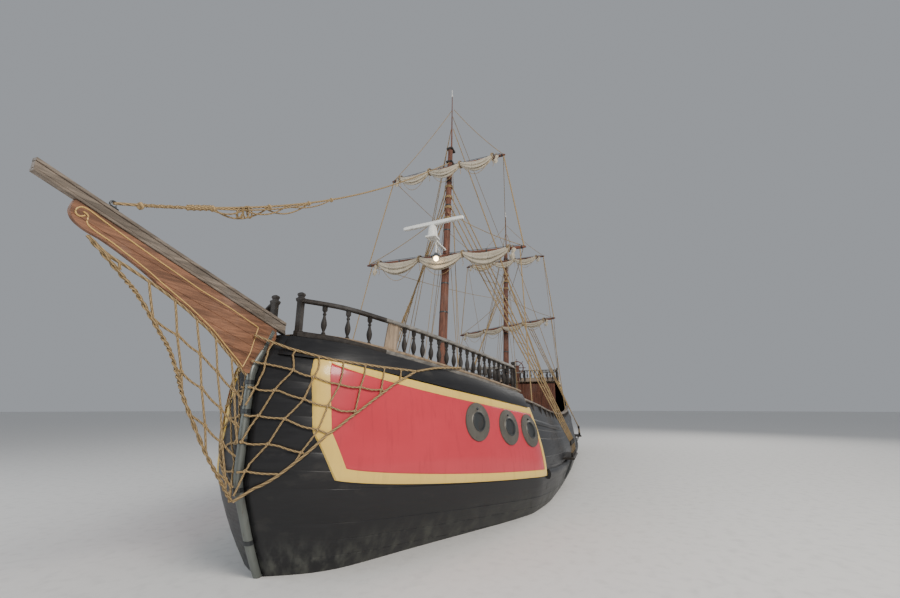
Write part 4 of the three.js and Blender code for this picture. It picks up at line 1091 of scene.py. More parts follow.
def forecastle_rail(sizes):
    """Wide-spaced balusters by the stem, one plain board, then close balusters aft and across the break."""
    sections = np.linspace(0.2, FORECASTLE_BREAK - 0.12, 80)
    port = side(sections, sheer_z(sections), -0.09)
    starboard = flip(port)
    across = line(port[-1], starboard[-1], 20)
    run = lengths(port)
    fore, aft = run <= BOARD_AT, run >= BOARD_AT - 0.08
    put("forecastle_handrail_fore", railing([port[fore], starboard[fore]]), timber("dark_timber", "x"))
    put("forecastle_handrail_aft", railing([port[aft], starboard[aft], across]), timber("worn_rail", "x"))
    places = []
    for p in (port, starboard):
        places.append(spaced(p, 0.215, BOARD_AT - 0.135, sizes.wide_step))
        places.append(spaced(p, BOARD_AT + BOARD_LONG + 0.03, None, sizes.baluster_step))
    places.append(spaced(across, 0.1, None, sizes.baluster_step))
    posts = newel([port[0], starboard[0], port[-1], starboard[-1]])
    upright = timber("dark_timber", "z")
    put("forecastle_balusters", together([turned_balusters(np.concatenate(places)), posts]), upright,
        stands_for=["forecastle_rail"])
    boards = []
    for p in (port, starboard):
        span = spaced(p, BOARD_AT, BOARD_AT + BOARD_LONG, 0.02)
        boards.append(carried(span + (0, 0, 0.33), plank(0.016, 0.27)))
    put("rail_boards", together(boards), timber("pale_timber", "z"))


def quarter_deck_rail(sizes):
    """The balustrade round the quarter deck, open at the two ladders."""
    sections = np.linspace(CASTLE_BREAK, LENGTH - 0.14, 40)
    lift = (0, 0, QUARTER_DECK_THICK)
    port = side(sections, sheer_z(sections) + CASTLE_RISE, -0.09) + lift
    front = port[0]
    gate, post = front * (1, 0, 1) + (0, 1.7, 0), front * (1, 0, 1) + (0, 0.7, 0)
    lines = [port, flip(port), line(port[-1], flip(port[-1]), 20)]
    lines += [line(front, gate, 6), line(flip(gate), flip(front), 6), line(post, flip(post), 6)]
    put("quarter_handrail", railing(lines), timber("worn_rail", "x"))
    places = np.concatenate([spaced(p, 0.1, None, sizes.baluster_step * 1.25) for p in lines])
    ends = [front, flip(front), port[-1], flip(port[-1]), gate, flip(gate), post, flip(post)]
    shape = together([turned_balusters(places), newel(ends)])
    put("quarter_balusters", shape, timber("dark_timber", "z"), stands_for=["quarter_deck_rail"])


# Bow
SPRIT_ENDS = (0.15, -3.715)
SPRIT_LOW = (3.808, 4.885)
SPRIT_THICK = (0.225, 0.155)
SPRIT_LAYERS = [(0.0, 0.22, 0.042), (0.22, 0.74, 0.032), (0.74, 1.0, 0.042)]
SPRIT_TILT = math.atan2(SPRIT_LOW[1] - SPRIT_LOW[0], SPRIT_ENDS[0] - SPRIT_ENDS[1])
KNEE_HALF = 0.026
KNEE_BOARD = 0.165
KNEE_FOOT = np.array(
    [(-3.336, 4.64), (-3.333, 4.62), (-3.323, 4.594), (-3.294, 4.549), (-3.224, 4.5), (-3.124, 4.46),
     (-3.002, 4.43), (-2.856, 4.38), (-2.699, 4.315), (-2.534, 4.244), (-2.357, 4.156), (-2.207, 4.072),
     (-1.975, 3.967), (-1.768, 3.872), (-1.581, 3.765), (-1.362, 3.644), (-1.04, 3.4), (-0.826, 3.242),
     (-0.6, 3.08), (-0.35, 3.3), (-0.06, 3.6)]
)
KNEE_NOSE = np.array([(-3.336, 4.66), (-3.331, 4.69), (-3.323, 4.721), (-3.312, 4.76), (-3.3, 4.79)])
GOLD_SCROLL = [
    (-3.192, 4.625), (-3.214, 4.601), (-3.255, 4.591), (-3.285, 4.612), (-3.293, 4.642), (-3.278, 4.679),
    (-3.247, 4.708), (-3.209, 4.714), (-3.172, 4.705), (-3.133, 4.693)
]
GOLD_HEAD = GOLD_SCROLL + [(-2.992, 4.639), (-2.685, 4.528), (-2.262, 4.381), (-1.651, 4.18),
                           (-1.095, 4.034), (-0.49, 3.836)]
GOLD_HOOK = [
    (-3.216, 4.659), (-3.184, 4.655), (-3.156, 4.638), (-3.158, 4.61), (-3.166, 4.574), (-3.159, 4.545),
    (-3.136, 4.522), (-3.097, 4.504), (-3.047, 4.485)
]
GOLD_FOOT = GOLD_HOOK + [(-2.864, 4.424), (-2.707, 4.355), (-2.542, 4.286), (-2.366, 4.204), (-2.216, 4.124),
                         (-1.982, 4.009), (-1.774, 3.907), (-1.587, 3.801)]
GOLD_CORNER = (-0.6, 3.4)
GOLD_STEP = 0.01


def sprit_z(station, share=0.0):
    """Height on the bowsprit at a station, for a share of its thickness from its underside."""
    forward = (SPRIT_ENDS[0] - np.asarray(station, float)) / (SPRIT_ENDS[0] - SPRIT_ENDS[1])
    low = SPRIT_LOW[0] + (SPRIT_LOW[1] - SPRIT_LOW[0]) * forward
    return low + (SPRIT_THICK[0] + (SPRIT_THICK[1] - SPRIT_THICK[0]) * forward) * share


def knee_foot(station):
    """Height of the knee's lower edge at a station."""
    return through(KNEE_FOOT, station)


class GALLEON_OT_bow(bpy.types.Operator):
    """Builds the bowsprit's boards, the planked knee with its gold line and scroll, and the clad stem"""

    bl_idname = "galleon.bow"
    bl_label = "Bowsprit, knee and stem"

    def execute(self, context):
        bowsprit()
        knee()
        clad_stem()
        return {"FINISHED"}


def bowsprit():
    """Three boards on top of each other, thinner forward, with a hair of space between them."""
    station = np.linspace(*SPRIT_ENDS, 24)[:, None]
    shapes = []
    for low, high, half in SPRIT_LAYERS:
        share = np.array([low + 0.012, high, high, low + 0.012])
        shapes.append(solid(at(station, np.array([-half, -half, half, half]), sprit_z(station, share))))
    wood = timber("grey_timber", "x", (0, -SPRIT_TILT, 0))
    put("bowsprit_boards", together(shapes), wood, stands_for=["bowsprit"], bevel=0.007, clean="outwards")


def knee():
    """Boards that run with the bowsprit, cut to the knee's outline, with grooves between them."""
    fine = np.linspace(0, 1, 110)
    station = KNEE_FOOT[0, 0] + (KNEE_FOOT[-1, 0] - KNEE_FOOT[0, 0]) * fine**1.4
    nose = through(KNEE_NOSE, station) + 10 * (station > KNEE_NOSE[-1, 0])
    top = np.minimum(sprit_z(station) - 0.001, nose)
    depth = top - knee_foot(station)
    levels = (np.arange(9)[:, None] * KNEE_BOARD + (0.0, 0.006, KNEE_BOARD - 0.006)).ravel()
    inside = levels < depth[:, None] - 0.004
    y = KNEE_HALF - np.tile([0.006, 0, 0], 9) * inside
    port = at(station[:, None], y, top[:, None] - np.minimum(levels, depth[:, None]))
    ring = np.concatenate([port, flip(port)[:, ::-1]], 1)
    wood = timber("knee_brown", "x", (0, -SPRIT_TILT, 0))
    put("knee_boards", solid(ring), wood, stands_for=["knee"], smooth=25, clean="outwards")
    gold_line()


def gold_line():
    """A bead along the knee's head with a corner at its aft end, a scroll and a bead along the foot."""
    corner = np.array([GOLD_HEAD[-1], GOLD_CORNER])
    head = np.concatenate([eased(GOLD_HEAD, GOLD_STEP), line(*corner, 4)[1:]])
    edge_s = np.linspace(-1.4, -0.72, 20)
    edge = xyz(edge_s, knee_foot(edge_s) + 0.022)
    foot = np.concatenate([eased(np.concatenate([GOLD_FOOT, edge]), GOLD_STEP), corner[1:]])
    for name, route in (("head", head), ("foot", foot)):
        points = at(route[:, 0], KNEE_HALF + 0.001, route[:, 1])
        put(f"knee_gold_line_{name}", both(tube(points, 0.0085, 6)), plain("gold", 0.4))


def clad_stem():
    """The stem post: a rounded bar that follows the stem, clad in metal, with straps riveted round it."""
    z = np.linspace(-0.98, 3.48, 70)[:, None]
    flank = [(0.0, 0.054), (-0.075, 0.054), (-0.1, 0.036)]
    along, out = np.array(flank + [(-0.11, 0.0)] + [(s, -y) for s, y in flank[::-1]] + [(0.03, 0.0)]).T
    put("stem_cladding", solid(at(through(STEM, z) + along, out, z)), metal("stem_metal", 0.75),
        stands_for=["stem_post"], clean="outwards", smooth=50)
    swell = np.array([0.0, 0.008, 0.008, 0.0])[:, None]
    straps = []
    for height in (0.55, 1.35, 2.05, 2.5, 2.95):
        z = height + np.array([-0.035, -0.03, 0.03, 0.035])[:, None]
        straps.append(solid(at(through(STEM, z) + along - swell, out + np.sign(out) * swell, z)))
    put("stem_straps", together(straps), metal("dark_iron", 0.6), clean="outwards")
    route = bend([(-0.5, 2.98), (-0.43, 3.2), (-0.3, 3.5), (-0.14, 3.83)], 20)
    path = at(route[:, 0], KNEE_HALF + 0.008, route[:, 1])
    flat = [(-0.035, -0.007), (0.035, -0.007), (0.035, 0.007), (-0.035, 0.007)]
    put("stem_head_plates", both(carried(path, flat, PORT)), metal("stem_metal", 0.7), bevel=0.003,
        clean="outwards")


# Net: rows of station, breadth and height along its lower edge and its head, before the stem and on the bow
NET_FORE_LOW = np.array(
    [(-3.108, 0.0, 4.42), (-2.667, 0.0, 4.07), (-2.445, 0.0, 3.883), (-2.127, 0.0, 3.516),
     (-1.92, 0.0, 3.262), (-1.753, 0.0, 2.944), (-1.616, 0.0, 2.662), (-1.2, 0.0, 2.0), (-0.86, 0.0, 1.55),
     (-0.6, 0.0, 1.21)]
)
NET_FORE_HEAD = np.array(
    [(-3.108, 0.0, 4.43), (-2.885, 0.0, 4.294), (-2.624, 0.0, 4.209), (-2.24, 0.0, 4.072),
     (-1.975, 0.0, 3.96), (-1.768, 0.0, 3.866), (-1.581, 0.0, 3.759), (-1.362, 0.0, 3.639),
     (-1.04, 0.0, 3.395), (-0.6, 0.0, 3.07)]
)
NET_SIDE_LOW = np.array(
    [(-0.6, 0.03, 1.21), (-0.36, 0.28, 1.42), (-0.19, 0.68, 1.72), (0.09, 1.04, 2.13),
     (0.38, 1.28, 2.4), (0.75, 1.48, 2.68), (1.19, 1.7, 2.99), (1.67, 1.9, 3.24)]
)
NET_SIDE_HEAD = np.array(
    [(-0.6, 0.075, 3.69), (-0.3, 0.1, 3.64), (-0.14, 0.4, 3.52), (0.04, 0.7, 3.43), (0.25, 1.0, 3.345),
     (0.53, 1.2, 3.31), (0.97, 1.45, 3.27), (1.67, 1.9, 3.24)]
)
NET_TAIL = np.array([(1.67, 1.9, 3.24), (2.2, 2.16, 3.34), (2.93, 2.42, 3.40)])
NET_MESH = 0.385
NET_ROW = 0.41
NET_SWAY = 0.012
NET_LEAN_FORE = 0.3
NET_LEAN_SIDE = -0.3


def outside_hull(points, out):
    """Points moved out athwart until they clear the port side by out; those forward of the stem stay."""
    x, y, z = np.moveaxis(points, -1, 0)
    reach = half_breadth(section_of(BOW - x, z), z) + out
    return xyz(x, np.where(BOW - x > through(STEM, z) - 0.02, np.maximum(y, reach), y), z)


def net_edge(table, station):
    """Breadth and height of the net's head or lower edge at a station, straight between the table's rows."""
    return np.interp(station, table[:, 0], table[:, 1]), np.interp(station, table[:, 0], table[:, 2])


def net_place(edges, station, down, out):
    """A point of the net: below the head rope by down, with its breadth blended from head to lower edge."""
    head, low = edges
    head_y, head_z = net_edge(head, station)
    low_y, low_z = net_edge(low, station)
    share = np.clip(down / np.maximum(head_z - low_z, 0.01), 0, 1)
    points = at(station, head_y + (low_y - head_y) * share, head_z - down)
    return outside_hull(points, out) if out else points


def to_and_fro(value):
    """A triangle wave from -1 at even whole numbers to 1 at odd ones."""
    return 1 - 2 * np.abs(np.mod(value, 2) - 1)


class GALLEON_OT_net(bpy.types.Operator):
    """Knots the rope net that hangs from the knee and the bow down to the stem"""

    bl_idname = "galleon.net"
    bl_label = "Bow net"

    def execute(self, context):
        radius = context.scene.galleon_sizes.net_rope
        out = 0.055 + radius
        bow = (NET_SIDE_HEAD, NET_SIDE_LOW)
        centre = together(weave_net((NET_FORE_HEAD, NET_FORE_LOW), radius, 0.0, NET_LEAN_FORE))
        put("bow_net_centre", centre, laid_rope(0.09))
        put("bow_net_sides", both(together(weave_net(bow, radius, out, NET_LEAN_SIDE))), laid_rope(0.09))
        edge = bend(at(*NET_FORE_LOW.T), 120)
        twisted = []
        for k in range(2):
            turn = 2 * np.pi * (k / 2 + 17 * np.linspace(0, 1, 120))
            twisted.append(tube(edge + xyz(0.014 * np.cos(turn), 0.014 * np.sin(turn), 0.007 * np.sin(turn)),
                                0.0155, 6))
        head = bend(at(*NET_FORE_HEAD.T) - (0, 0, 0.012), 40)
        twisted.append(tube(head, radius * 1.35, 8))
        put("bow_net_fore_edge", together(twisted), laid_rope(0.13))
        fine = np.linspace(NET_SIDE_HEAD[0, 0], NET_SIDE_HEAD[-1, 0], 60)
        low = outside_hull(at(fine, *net_edge(NET_SIDE_LOW, fine)), out)
        tail = outside_hull(bend(at(*NET_TAIL.T), 12), out + 0.02)
        edges = ((low, 1.4), (net_place(bow, fine, 0.0, out), 1.35), (tail, 1.3))
        put("bow_net_edge", both(together([tube(path, radius * thick, 8) for path, thick in edges])),
            laid_rope(0.13))
        return {"FINISHED"}


def weave_net(edges, radius, out, lean):
    """Rows that sag between the columns, columns that lean and sway, and a knot at each crossing.

    A column's station is its mark on the head rope + lean * depth + sway * triangle wave of the depth.
    """
    head, low = edges
    fine = np.linspace(head[0, 0], head[-1, 0], 400)
    y, z = net_edge(head, fine)
    run = lengths(at(fine, y, z))
    count = int(round(run[-1] / NET_MESH))
    marks = np.interp(np.arange(1, count) * run[-1] / count, run, fine)
    depth = z - net_edge(low, fine)[1]
    cords, knots = [], []
    for row in range(1, int(depth.max() / NET_ROW) + 1):
        level = row * NET_ROW
        across = fine[depth > level]
        if len(across) < 6:
            continue
        number = np.interp(across - lean * level, marks, np.arange(1, count))
        sag = 0.022 * np.abs(np.sin(np.pi * number))
        cords.append(tube(net_place(edges, across, level + sag, out)[::5], radius, 6))
    for number, mark in enumerate(marks, 1):
        down = np.arange(0, depth.max(), 0.05)
        place = mark + lean * down + NET_SWAY * to_and_fro(down / NET_ROW + number) * np.minimum(1, 3 * down)
        inside = (down <= np.interp(place, fine, depth)) & (place > fine[0]) & (place < fine[-1])
        last = len(down) if inside.all() else int(np.argmin(inside))
        if last < 3:
            continue
        cords.append(tube(net_place(edges, place[:last], down[:last], out), radius, 6))
        levels = NET_ROW * np.arange(1, int(down[last - 1] / NET_ROW) + 1)
        if len(levels):
            knots.append(net_place(edges, np.interp(levels, down, place), levels, out))
    knot = lathe([(0.01, -0.027), (0.026, -0.016), (0.03, 0.0), (0.026, 0.016), (0.01, 0.027)], 8)
    return cords + [knot.copies(np.concatenate(knots))]


# Aft castle
WINDOW_SIDE = {"stations": (23.3, 25.0), "half": 0.33, "low": 0.22, "high": 0.74}
WINDOW_STERN = {"places": (-1.35, -0.45, 0.45, 1.35), "half": 0.28, "low": 0.09, "high": 0.75}
STERN_HALF = 2.64
CABIN_BOARD = 0.152
DOOR_EDGES = (0.906, 1.6597)
DOOR_HIGH = 1.85


def cuts(low, high, edges, step):
    """Grid places between two ends that include every edge, no further apart than about a step."""
    marks = np.unique(np.concatenate([[low, high], edges]))
    parts = []
    for a, b in zip(marks[:-1], marks[1:]):
        parts.append(np.linspace(a, b, max(2, int(round((b - a) / step)) + 1))[:-1])
    return np.concatenate(parts + [[high]])


def open_at(values, holes):
    """True for each gap between neighbouring values that lies in one of the holes."""
    middle = (values[:-1] + values[1:]) / 2
    return np.any([(middle > a) & (middle < b) for a, b in holes], axis=0)


class GALLEON_OT_castle(bpy.types.Operator):
    """Planks the aft castle with its windows, its bulkhead and two doors"""

    bl_idname = "galleon.castle"
    bl_label = "Aft castle"

    def execute(self, context):
        walls()
        bulkhead()
        return {"FINISHED"}


def walls():
    """Side and stern walls as grids over section and height above the sheer, without the window squares."""
    w, t = WINDOW_SIDE, WINDOW_STERN
    holes = [(s - w["half"], s + w["half"]) for s in w["stations"]]
    stations = cuts(CASTLE_BREAK, LENGTH, [e for h in holes for e in h], 0.25)
    heights = cuts(-DECK_DROP, CASTLE_RISE, [w["low"], w["high"]], 0.2)
    wall = side(stations[:, None], sheer_z(stations)[:, None] + heights)
    keep = ~(open_at(stations, holes)[:, None] & open_at(heights, [(w["low"], w["high"])]))
    port = grid(wall, keep=keep)
    holes = [(p - t["half"], p + t["half"]) for p in t["places"]]
    heights = cuts(-DECK_DROP, CASTLE_RISE, [t["low"], t["high"]], 0.2)
    x, edge, z = side(LENGTH, sheer_z(LENGTH) + heights).T
    y = cuts(-1.0, 1.0, [e / STERN_HALF for h in holes for e in h], 0.12)[:, None]
    keep = ~(open_at(y * STERN_HALF, holes) & open_at(heights, [(t["low"], t["high"])]))
    y = np.where(np.abs(y) > 0.999, y * edge, np.clip(y * STERN_HALF, -edge, edge))
    transom = grid(xyz(x, y, z)[::-1], keep=keep[::-1])
    put("castle_walls", together([port, port.flipped(), transom]), hull_paint(),
        stands_for=["aft_castle"], thick=0.1, smooth=30, clean="merge")
    mouldings()
    windows()


def mouldings():
    """Raised rails round the castle: profiles carried along the side at set heights over the sheer."""
    sections = np.linspace(CASTLE_BREAK, LENGTH, 40)
    rails = []
    for height, size in ((-0.06, 0.05), (0.95, 0.035), (CASTLE_RISE - 0.05, 0.05)):
        low, high = raised(sheer_z, height - size), raised(sheer_z, height + size)
        rails.append(both(band(sections, low, high, 6, 0.015, rounding=size * 0.6)))
    for height, size in ((-0.06, 0.05), (0.95, 0.035)):
        end = side(LENGTH, sheer_z(LENGTH) + height, 0.02)
        path = line(end, flip(end), 12) - (0.015, 0, 0)
        rails.append(carried(path, circle(10, size * 1.1) * (0.6, 1)))
    put("castle_mouldings", together(rails), panel_paint("cream"))


def windows():
    """Frames with glazing bars and panes, built in each opening's own frame."""
    frames, panes = [], []
    w, t = WINDOW_SIDE, WINDOW_STERN
    for station in w["stations"]:
        z = sheer_z(station) + (w["low"] + w["high"]) / 2
        ahead = unit(side(station - 0.2, z) - side(station + 0.2, z))
        up = unit(side(station, z + 0.2) - side(station, z - 0.2))
        turn = np.stack([ahead, up, np.cross(ahead, up)], 1)
        bars, pane = window_parts(w["half"], (w["high"] - w["low"]) / 2)
        frames.append(both(bars.moved(turn, side(station, z, -0.04))))
        panes.append(both(pane.moved(turn, side(station, z, -0.04))))
    turn = np.stack([PORT, unit(np.array([-0.1, 0, 1])), unit(np.array([-1, 0, -0.1]))], 1)
    z = sheer_z(LENGTH) + (t["low"] + t["high"]) / 2
    for y in t["places"]:
        bars, pane = window_parts(t["half"], (t["high"] - t["low"]) / 2)
        frames.append(bars.moved(turn, (side(LENGTH, z)[0] + 0.04, y, z)))
        panes.append(pane.moved(turn, (side(LENGTH, z)[0] + 0.04, y, z)))
    put("castle_window_frames", together(frames), panel_paint("cream"), bevel=0.006, clean="outwards")
    put("castle_panes", together(panes), glass(), clean="outwards")


def window_parts(half, high):
    """Four frame bars and two crossing glazing bars round one pane, in a plane."""
    f, b, d = 0.05, 0.016, 0.06
    wide, tall = half + 0.02, high + 0.02
    lows = [(-wide, -tall, -d), (-wide, high - f, -d), (-wide, -high, -d), (half - f, -high, -d),
            (-b, -high, -0.02), (-half, -b, -0.02)]
    highs = [(wide, -high + f, d), (wide, tall, d), (-half + f, high, d), (wide, high, d),
             (b, high, 0.03), (half, b, 0.03)]
    return blocks(lows, highs), blocks([(-half + 0.01, -high + 0.01, -0.006)],
                                       [(half - 0.01, high - 0.01, 0.006)])


def bulkhead():
    """Upright boards across the cabin's front, leaving the two doorways, and the two doors."""
    x = BOW - CASTLE_BREAK - 0.005
    foot = float(deck_top(CASTLE_BREAK)) + 0.001
    top = float(sheer_z(CASTLE_BREAK) + CASTLE_RISE)
    door_top = foot + DOOR_HIGH
    y = np.arange(-18, 18) * CABIN_BOARD
    wide = half_breadth(CASTLE_BREAK, np.array([foot, top])).min() - 0.13
    y = y[(y > -wide) & (y + CABIN_BOARD < wide)]
    middle = np.abs(y + CABIN_BOARD / 2)
    low = np.where((middle > 0.9) & (middle < 1.66), door_top, foot)
    boards = blocks(xyz(x - 0.085, y + 0.003, low), xyz(x, y + CABIN_BOARD - 0.003, top))
    wood = timber("red_brown", "z")
    put("cabin_boards", boards, wood, stands_for=["cabin_bulkhead"], bevel=0.006)
    (a, b), face = DOOR_EDGES, x - 0.01
    z0, z1 = foot + 0.012, door_top - 0.006
    lows, highs = [(face - 0.045, a, z0)], [(face - 0.01, b, z1)]
    for y0, y1, low_z, high_z in (
        (a, a + 0.1, z0, z1), (b - 0.1, b, z0, z1), (a + 0.1, b - 0.1, z0, z0 + 0.18),
        (a + 0.1, b - 0.1, z1 - 0.12, z1), (a + 0.1, b - 0.1, z0 + 0.85, z0 + 0.97),
    ):
        lows.append((face - 0.05, y0, low_z))
        highs.append((face, y1, high_z))
    leaf = blocks(lows, highs)
    handle = tube(xyz(face + np.array([0.002, 0.03, 0.03]), a + np.array([0.06, 0.06, 0.16]), z0 + 0.98),
                  0.01, 8)
    for way, sign in WAYS:
        put(f"door_leaf_{way}", leaf.on(sign), wood, f"door_{way}", [f"door_{way}"], bevel=0.006)
        put(f"door_handle_{way}", handle.on(sign), metal("bronze", 0.9), f"door_{way}")


# Rig
def mast_at(mast, z, forward=0.0, y=0.0):
    """A point on a raked mast's axis, moved forward and to port."""
    return xyz(BOW - (mast["foot"] + (z - mast["foot_z"]) * mast["rake"]) + forward, y, z)


def mast_radius(mast, z):
    """Radius of the lower mast, straight from deck to head."""
    return np.interp(z, (mast["deck_z"], mast["head"]), mast["radii"])


class GALLEON_OT_masts(bpy.types.Operator):
    """Steps both masts: tapered spars with iron hoops, wedges, a cap, trusses and a topmast pole"""

    bl_idname = "galleon.masts"
    bl_label = "Masts"

    def execute(self, context):
        for name, mast in (("foremast", FOREMAST), ("mainmast", MAINMAST)):
            lower_mast(name, mast)
            upper_mast(name, mast)
        return {"FINISHED"}


def lower_mast(name, mast):
    """The lower mast with entasis: radius along the axis plus a slight swell."""
    z = np.linspace(mast["deck_z"] - 0.02, mast["head"], 60)
    swell = 0.006 * np.sin(np.pi * (z - z[0]) / (z[-1] - z[0]))
    parts = [carried(mast_at(mast, z), circle(28), AHEAD, mast_radius(mast, z) - 0.004 + swell)]
    for yard in YARDS.values():
        if yard["mast"] is not mast:
            continue
        arm = mast_at(mast, yard["z"] - 0.195, np.linspace(0, mast["truss"] + 0.04, 4))
        parts.append(carried(arm, circle(14, 0.048)))
        pad = mast_at(mast, yard["z"] - np.array([0.228, 0.2, 0.135, 0.111]), mast["truss"])
        parts.append(carried(pad, circle(16), AHEAD, [0.07, 0.08, 0.08, 0.072]))
    put(f"{name}_spar", together(parts), timber("red_brown", "z"), stands_for=[name])
    hoops = []
    for z0 in np.arange(mast["deck_z"] + 1.0, mast["head"] - 1.2, 1.15):
        zz = z0 + np.array([-0.03, -0.026, 0.026, 0.03])
        thick = mast_radius(mast, zz) + (0, 0.009, 0.009, 0)
        hoops.append(carried(mast_at(mast, zz), circle(28), AHEAD, thick))
    put(f"{name}_hoops", together(hoops), metal("dark_iron", 0.6))
    foot = mast_at(mast, mast["deck_z"] + np.array([-0.01, 0.0, 0.07, 0.11]))
    collar = carried(foot, circle(24), AHEAD, mast["radii"][0] + np.array([0.1, 0.1, 0.09, 0.01]))
    put(f"{name}_wedges", collar, timber("dark_timber", "z"))


def upper_mast(name, mast):
    """The topmast pole behind the mast head, between trestle blocks, with a truck on top."""
    foot = mast_at(mast, mast["head"] - 0.9, -(mast["radii"][1] + 0.09))
    top = mast_at(mast, mast["top"], 0.1)
    thick = 0.042 - 0.026 * np.linspace(0, 1, 24)
    pole = carried(line(foot, top - (0, 0, 0.3), 24), circle(18), AHEAD, thick)
    lows, highs = [], []
    for z in (mast["head"] - 0.8, mast["head"] - 0.12):
        c = mast_at(mast, z, -(mast["radii"][1] / 2 + 0.05))
        lows.append(c - (0.17, 0.14, 0))
        highs.append(c + (0.24, 0.14, 0.08))
    truck = lathe([(0.016, -0.34), (0.03, -0.33), (0.034, -0.3), (0.03, -0.28), (0.014, -0.27), (0.012, 0.02),
                   (0.003, 0.03)], 12)
    topmast = name.replace("mast", "topmast")
    put(f"{topmast}_pole", pole, timber("red_brown", "z"), stands_for=[topmast])
    put(f"{topmast}_tip", truck.moved(None, top - (0, 0, 0.035)), plain("white_paint", 0.4))
    put(f"{name}_caps", blocks(lows, highs), timber("dark_timber", "y"), bevel=0.018)


def yard_frame(yard):
    """The yard's centre and its turn: Rodrigues' formula about the mast's lean, by the brace angle."""
    mast = yard["mast"]
    k = unit(np.array([-mast["rake"], 0, 1.0]))
    a = -math.radians(yard["brace"])
    cross = np.array([[0, -k[2], k[1]], [k[2], 0, -k[0]], [-k[1], k[0], 0]])
    turn = np.eye(3) + math.sin(a) * cross + (1 - math.cos(a)) * cross @ cross
    return mast_at(mast, yard["z"], mast["truss"]), turn


def yard_point(yard, share, forward=0.0, up=0.0):
    """A point by share of the yard's half length, to port, with a step forward and up."""
    centre, turn = yard_frame(yard)
    return centre + turn @ np.array([forward, share * yard["half"], up])


def yard_radius(yard, y):
    """The yard's radius, which tapers outwards with the power 1.3 of the distance."""
    return YARD_RADIUS * (1 - 0.4 * np.abs(y / yard["half"]) ** 1.3)


class GALLEON_OT_yards(bpy.types.Operator):
    """Rounds the four yards and fits bands, cleats, jackstays and truss pins"""

    bl_idname = "galleon.yards"
    bl_label = "Yards"

    def execute(self, context):
        for name, yard in YARDS.items():
            centre, turn = yard_frame(yard)
            y = np.linspace(-1, 1, 60) * yard["half"]
            radius = yard_radius(yard, y)
            radius[[0, -1]] *= 0.55
            spar = carried(xyz(0, y, 0), circle(20), UP, radius)
            pin = carried(line((0, 0, -0.108), (0, 0, 0.05), 5), circle(16), AHEAD,
                          [0.07, 0.075, 0.075, 0.075, 0.06])
            wood = timber("red_brown", "y", (0, 0, math.radians(yard["brace"])))
            put(f"{name}_spar", together([spar, pin]).moved(turn, centre), wood, name, [f"{name}_yard"])
            irons = []
            for share in (-0.95, -0.55, -0.12, 0.12, 0.55, 0.95):
                y = share * yard["half"] + np.array([-0.03, -0.025, 0.025, 0.03])
                irons.append(carried(xyz(0, y, 0), circle(20), UP,
                                     yard_radius(yard, y) + (0, 0.007, 0.007, 0)))
            y = np.linspace(-0.93, 0.93, 40) * yard["half"]
            lift = yard_radius(yard, y) + 0.02
            irons.append(tube(xyz(0.5 * lift, y, lift), 0.009, 6))
            put(f"{name}_irons", together(irons).moved(turn, centre), metal("dark_iron", 0.6), name)
        return {"FINISHED"}


SAIL_SPAN = 0.82
ROLL_TURNS = 1.9
CLEW_TURNS = 1.6


def way_out(tie, last):
    """Minus one at a sail's first tie, one at its last and zero between."""
    return int(tie == last) - int(tie == 0)


class GALLEON_OT_sails(bpy.types.Operator):
    """Furls the sails: cloth rolled under each yard in swags, held by gaskets"""

    bl_idname = "galleon.sails"
    bl_label = "Furled sails"

    def execute(self, context):
        for number, (name, yard) in enumerate(YARDS.items()):
            centre, turn = yard_frame(yard)
            surface, wide, deep = cloth(yard, number)
            piece = put(f"{name}_canvas", surface.moved(turn, centre), canvas(), name, [f"{name}_sail"],
                        smooth=70)
            put(f"{name}_gaskets", together(gaskets(yard)).moved(turn, centre), laid_rope(0.06), name)
            bunches, wide, deep = clews(yard)
            knots = put(f"{name}_clews", bunches.moved(turn, centre), canvas(), name, smooth=70)
        return {"FINISHED"}


def swag_depth(yard, u):
    """How far a swag hangs at each share of the yard: the size of a sine, sharpened at the gaskets."""
    return np.abs(np.sin(np.pi * yard["swags"] * u)) ** 0.75


def cloth(yard, number):
    """A roll of cloth: a spiral of 1.9 turns round a hanging line, with folds that run along the swags.

    radius = oval * (1 + folds) * (1 - 0.3 * share of the roll), folds being sums of sines of the angle
    whose phases drift along the yard.
    """
    u = np.linspace(0, 1, 44 * yard["swags"] + 1)[:, None]
    v = np.linspace(0, 1, 125)[None]
    hang = swag_depth(yard, u)
    half = yard["half"] * SAIL_SPAN
    swag = np.floor(np.clip(u * yard["swags"], 0, yard["swags"] - 1e-6)) + 10 * number
    angle = 0.62 * np.pi - 2 * np.pi * ROLL_TURNS * v
    drift = 2.3 * np.sin(2.1 * swag + 1.0) + 1.6 * u * yard["swags"]
    ridge = np.sqrt(np.sin(3.5 * angle + 0.5 * drift + 1.0 * u) ** 2 + 0.03)
    folds = 0.68 * (ridge - 0.78) + 0.05 * np.sin(8 * angle - 1.7 * drift)
    folds = folds + 0.025 * np.sin(13 * angle + 2.9 * drift + 3.0 * u)
    pinch = 0.03 * np.sin(11 * angle + swag) * (1 - hang)
    roll = 1 - 0.34 * v
    size = roll * (1 + folds * (0.35 + 0.65 * hang) + pinch)
    across = (0.092 + 0.062 * hang) * size
    high = (0.07 + (yard["drop"] - 0.05) / 2 * hang) * size
    sag = (yard["drop"] + 0.22) / 2 * hang
    x = 0.148 + across * np.cos(angle) - 0.03 * hang * np.sin(angle)
    z = -0.02 - sag + high * np.sin(angle)
    close = np.hypot(x, z) / (YARD_RADIUS + 0.006)
    x = np.where(close < 1, np.abs(x) / np.maximum(close, 0.05), x)
    points = xyz(x, half * (2 * u - 1), z)
    wide = float(np.linalg.norm(np.diff(points[:, 62], axis=0), axis=1).sum())
    deep = float(np.linalg.norm(np.diff(points, axis=1), axis=2).sum(1).mean())
    return grid(points), wide, deep


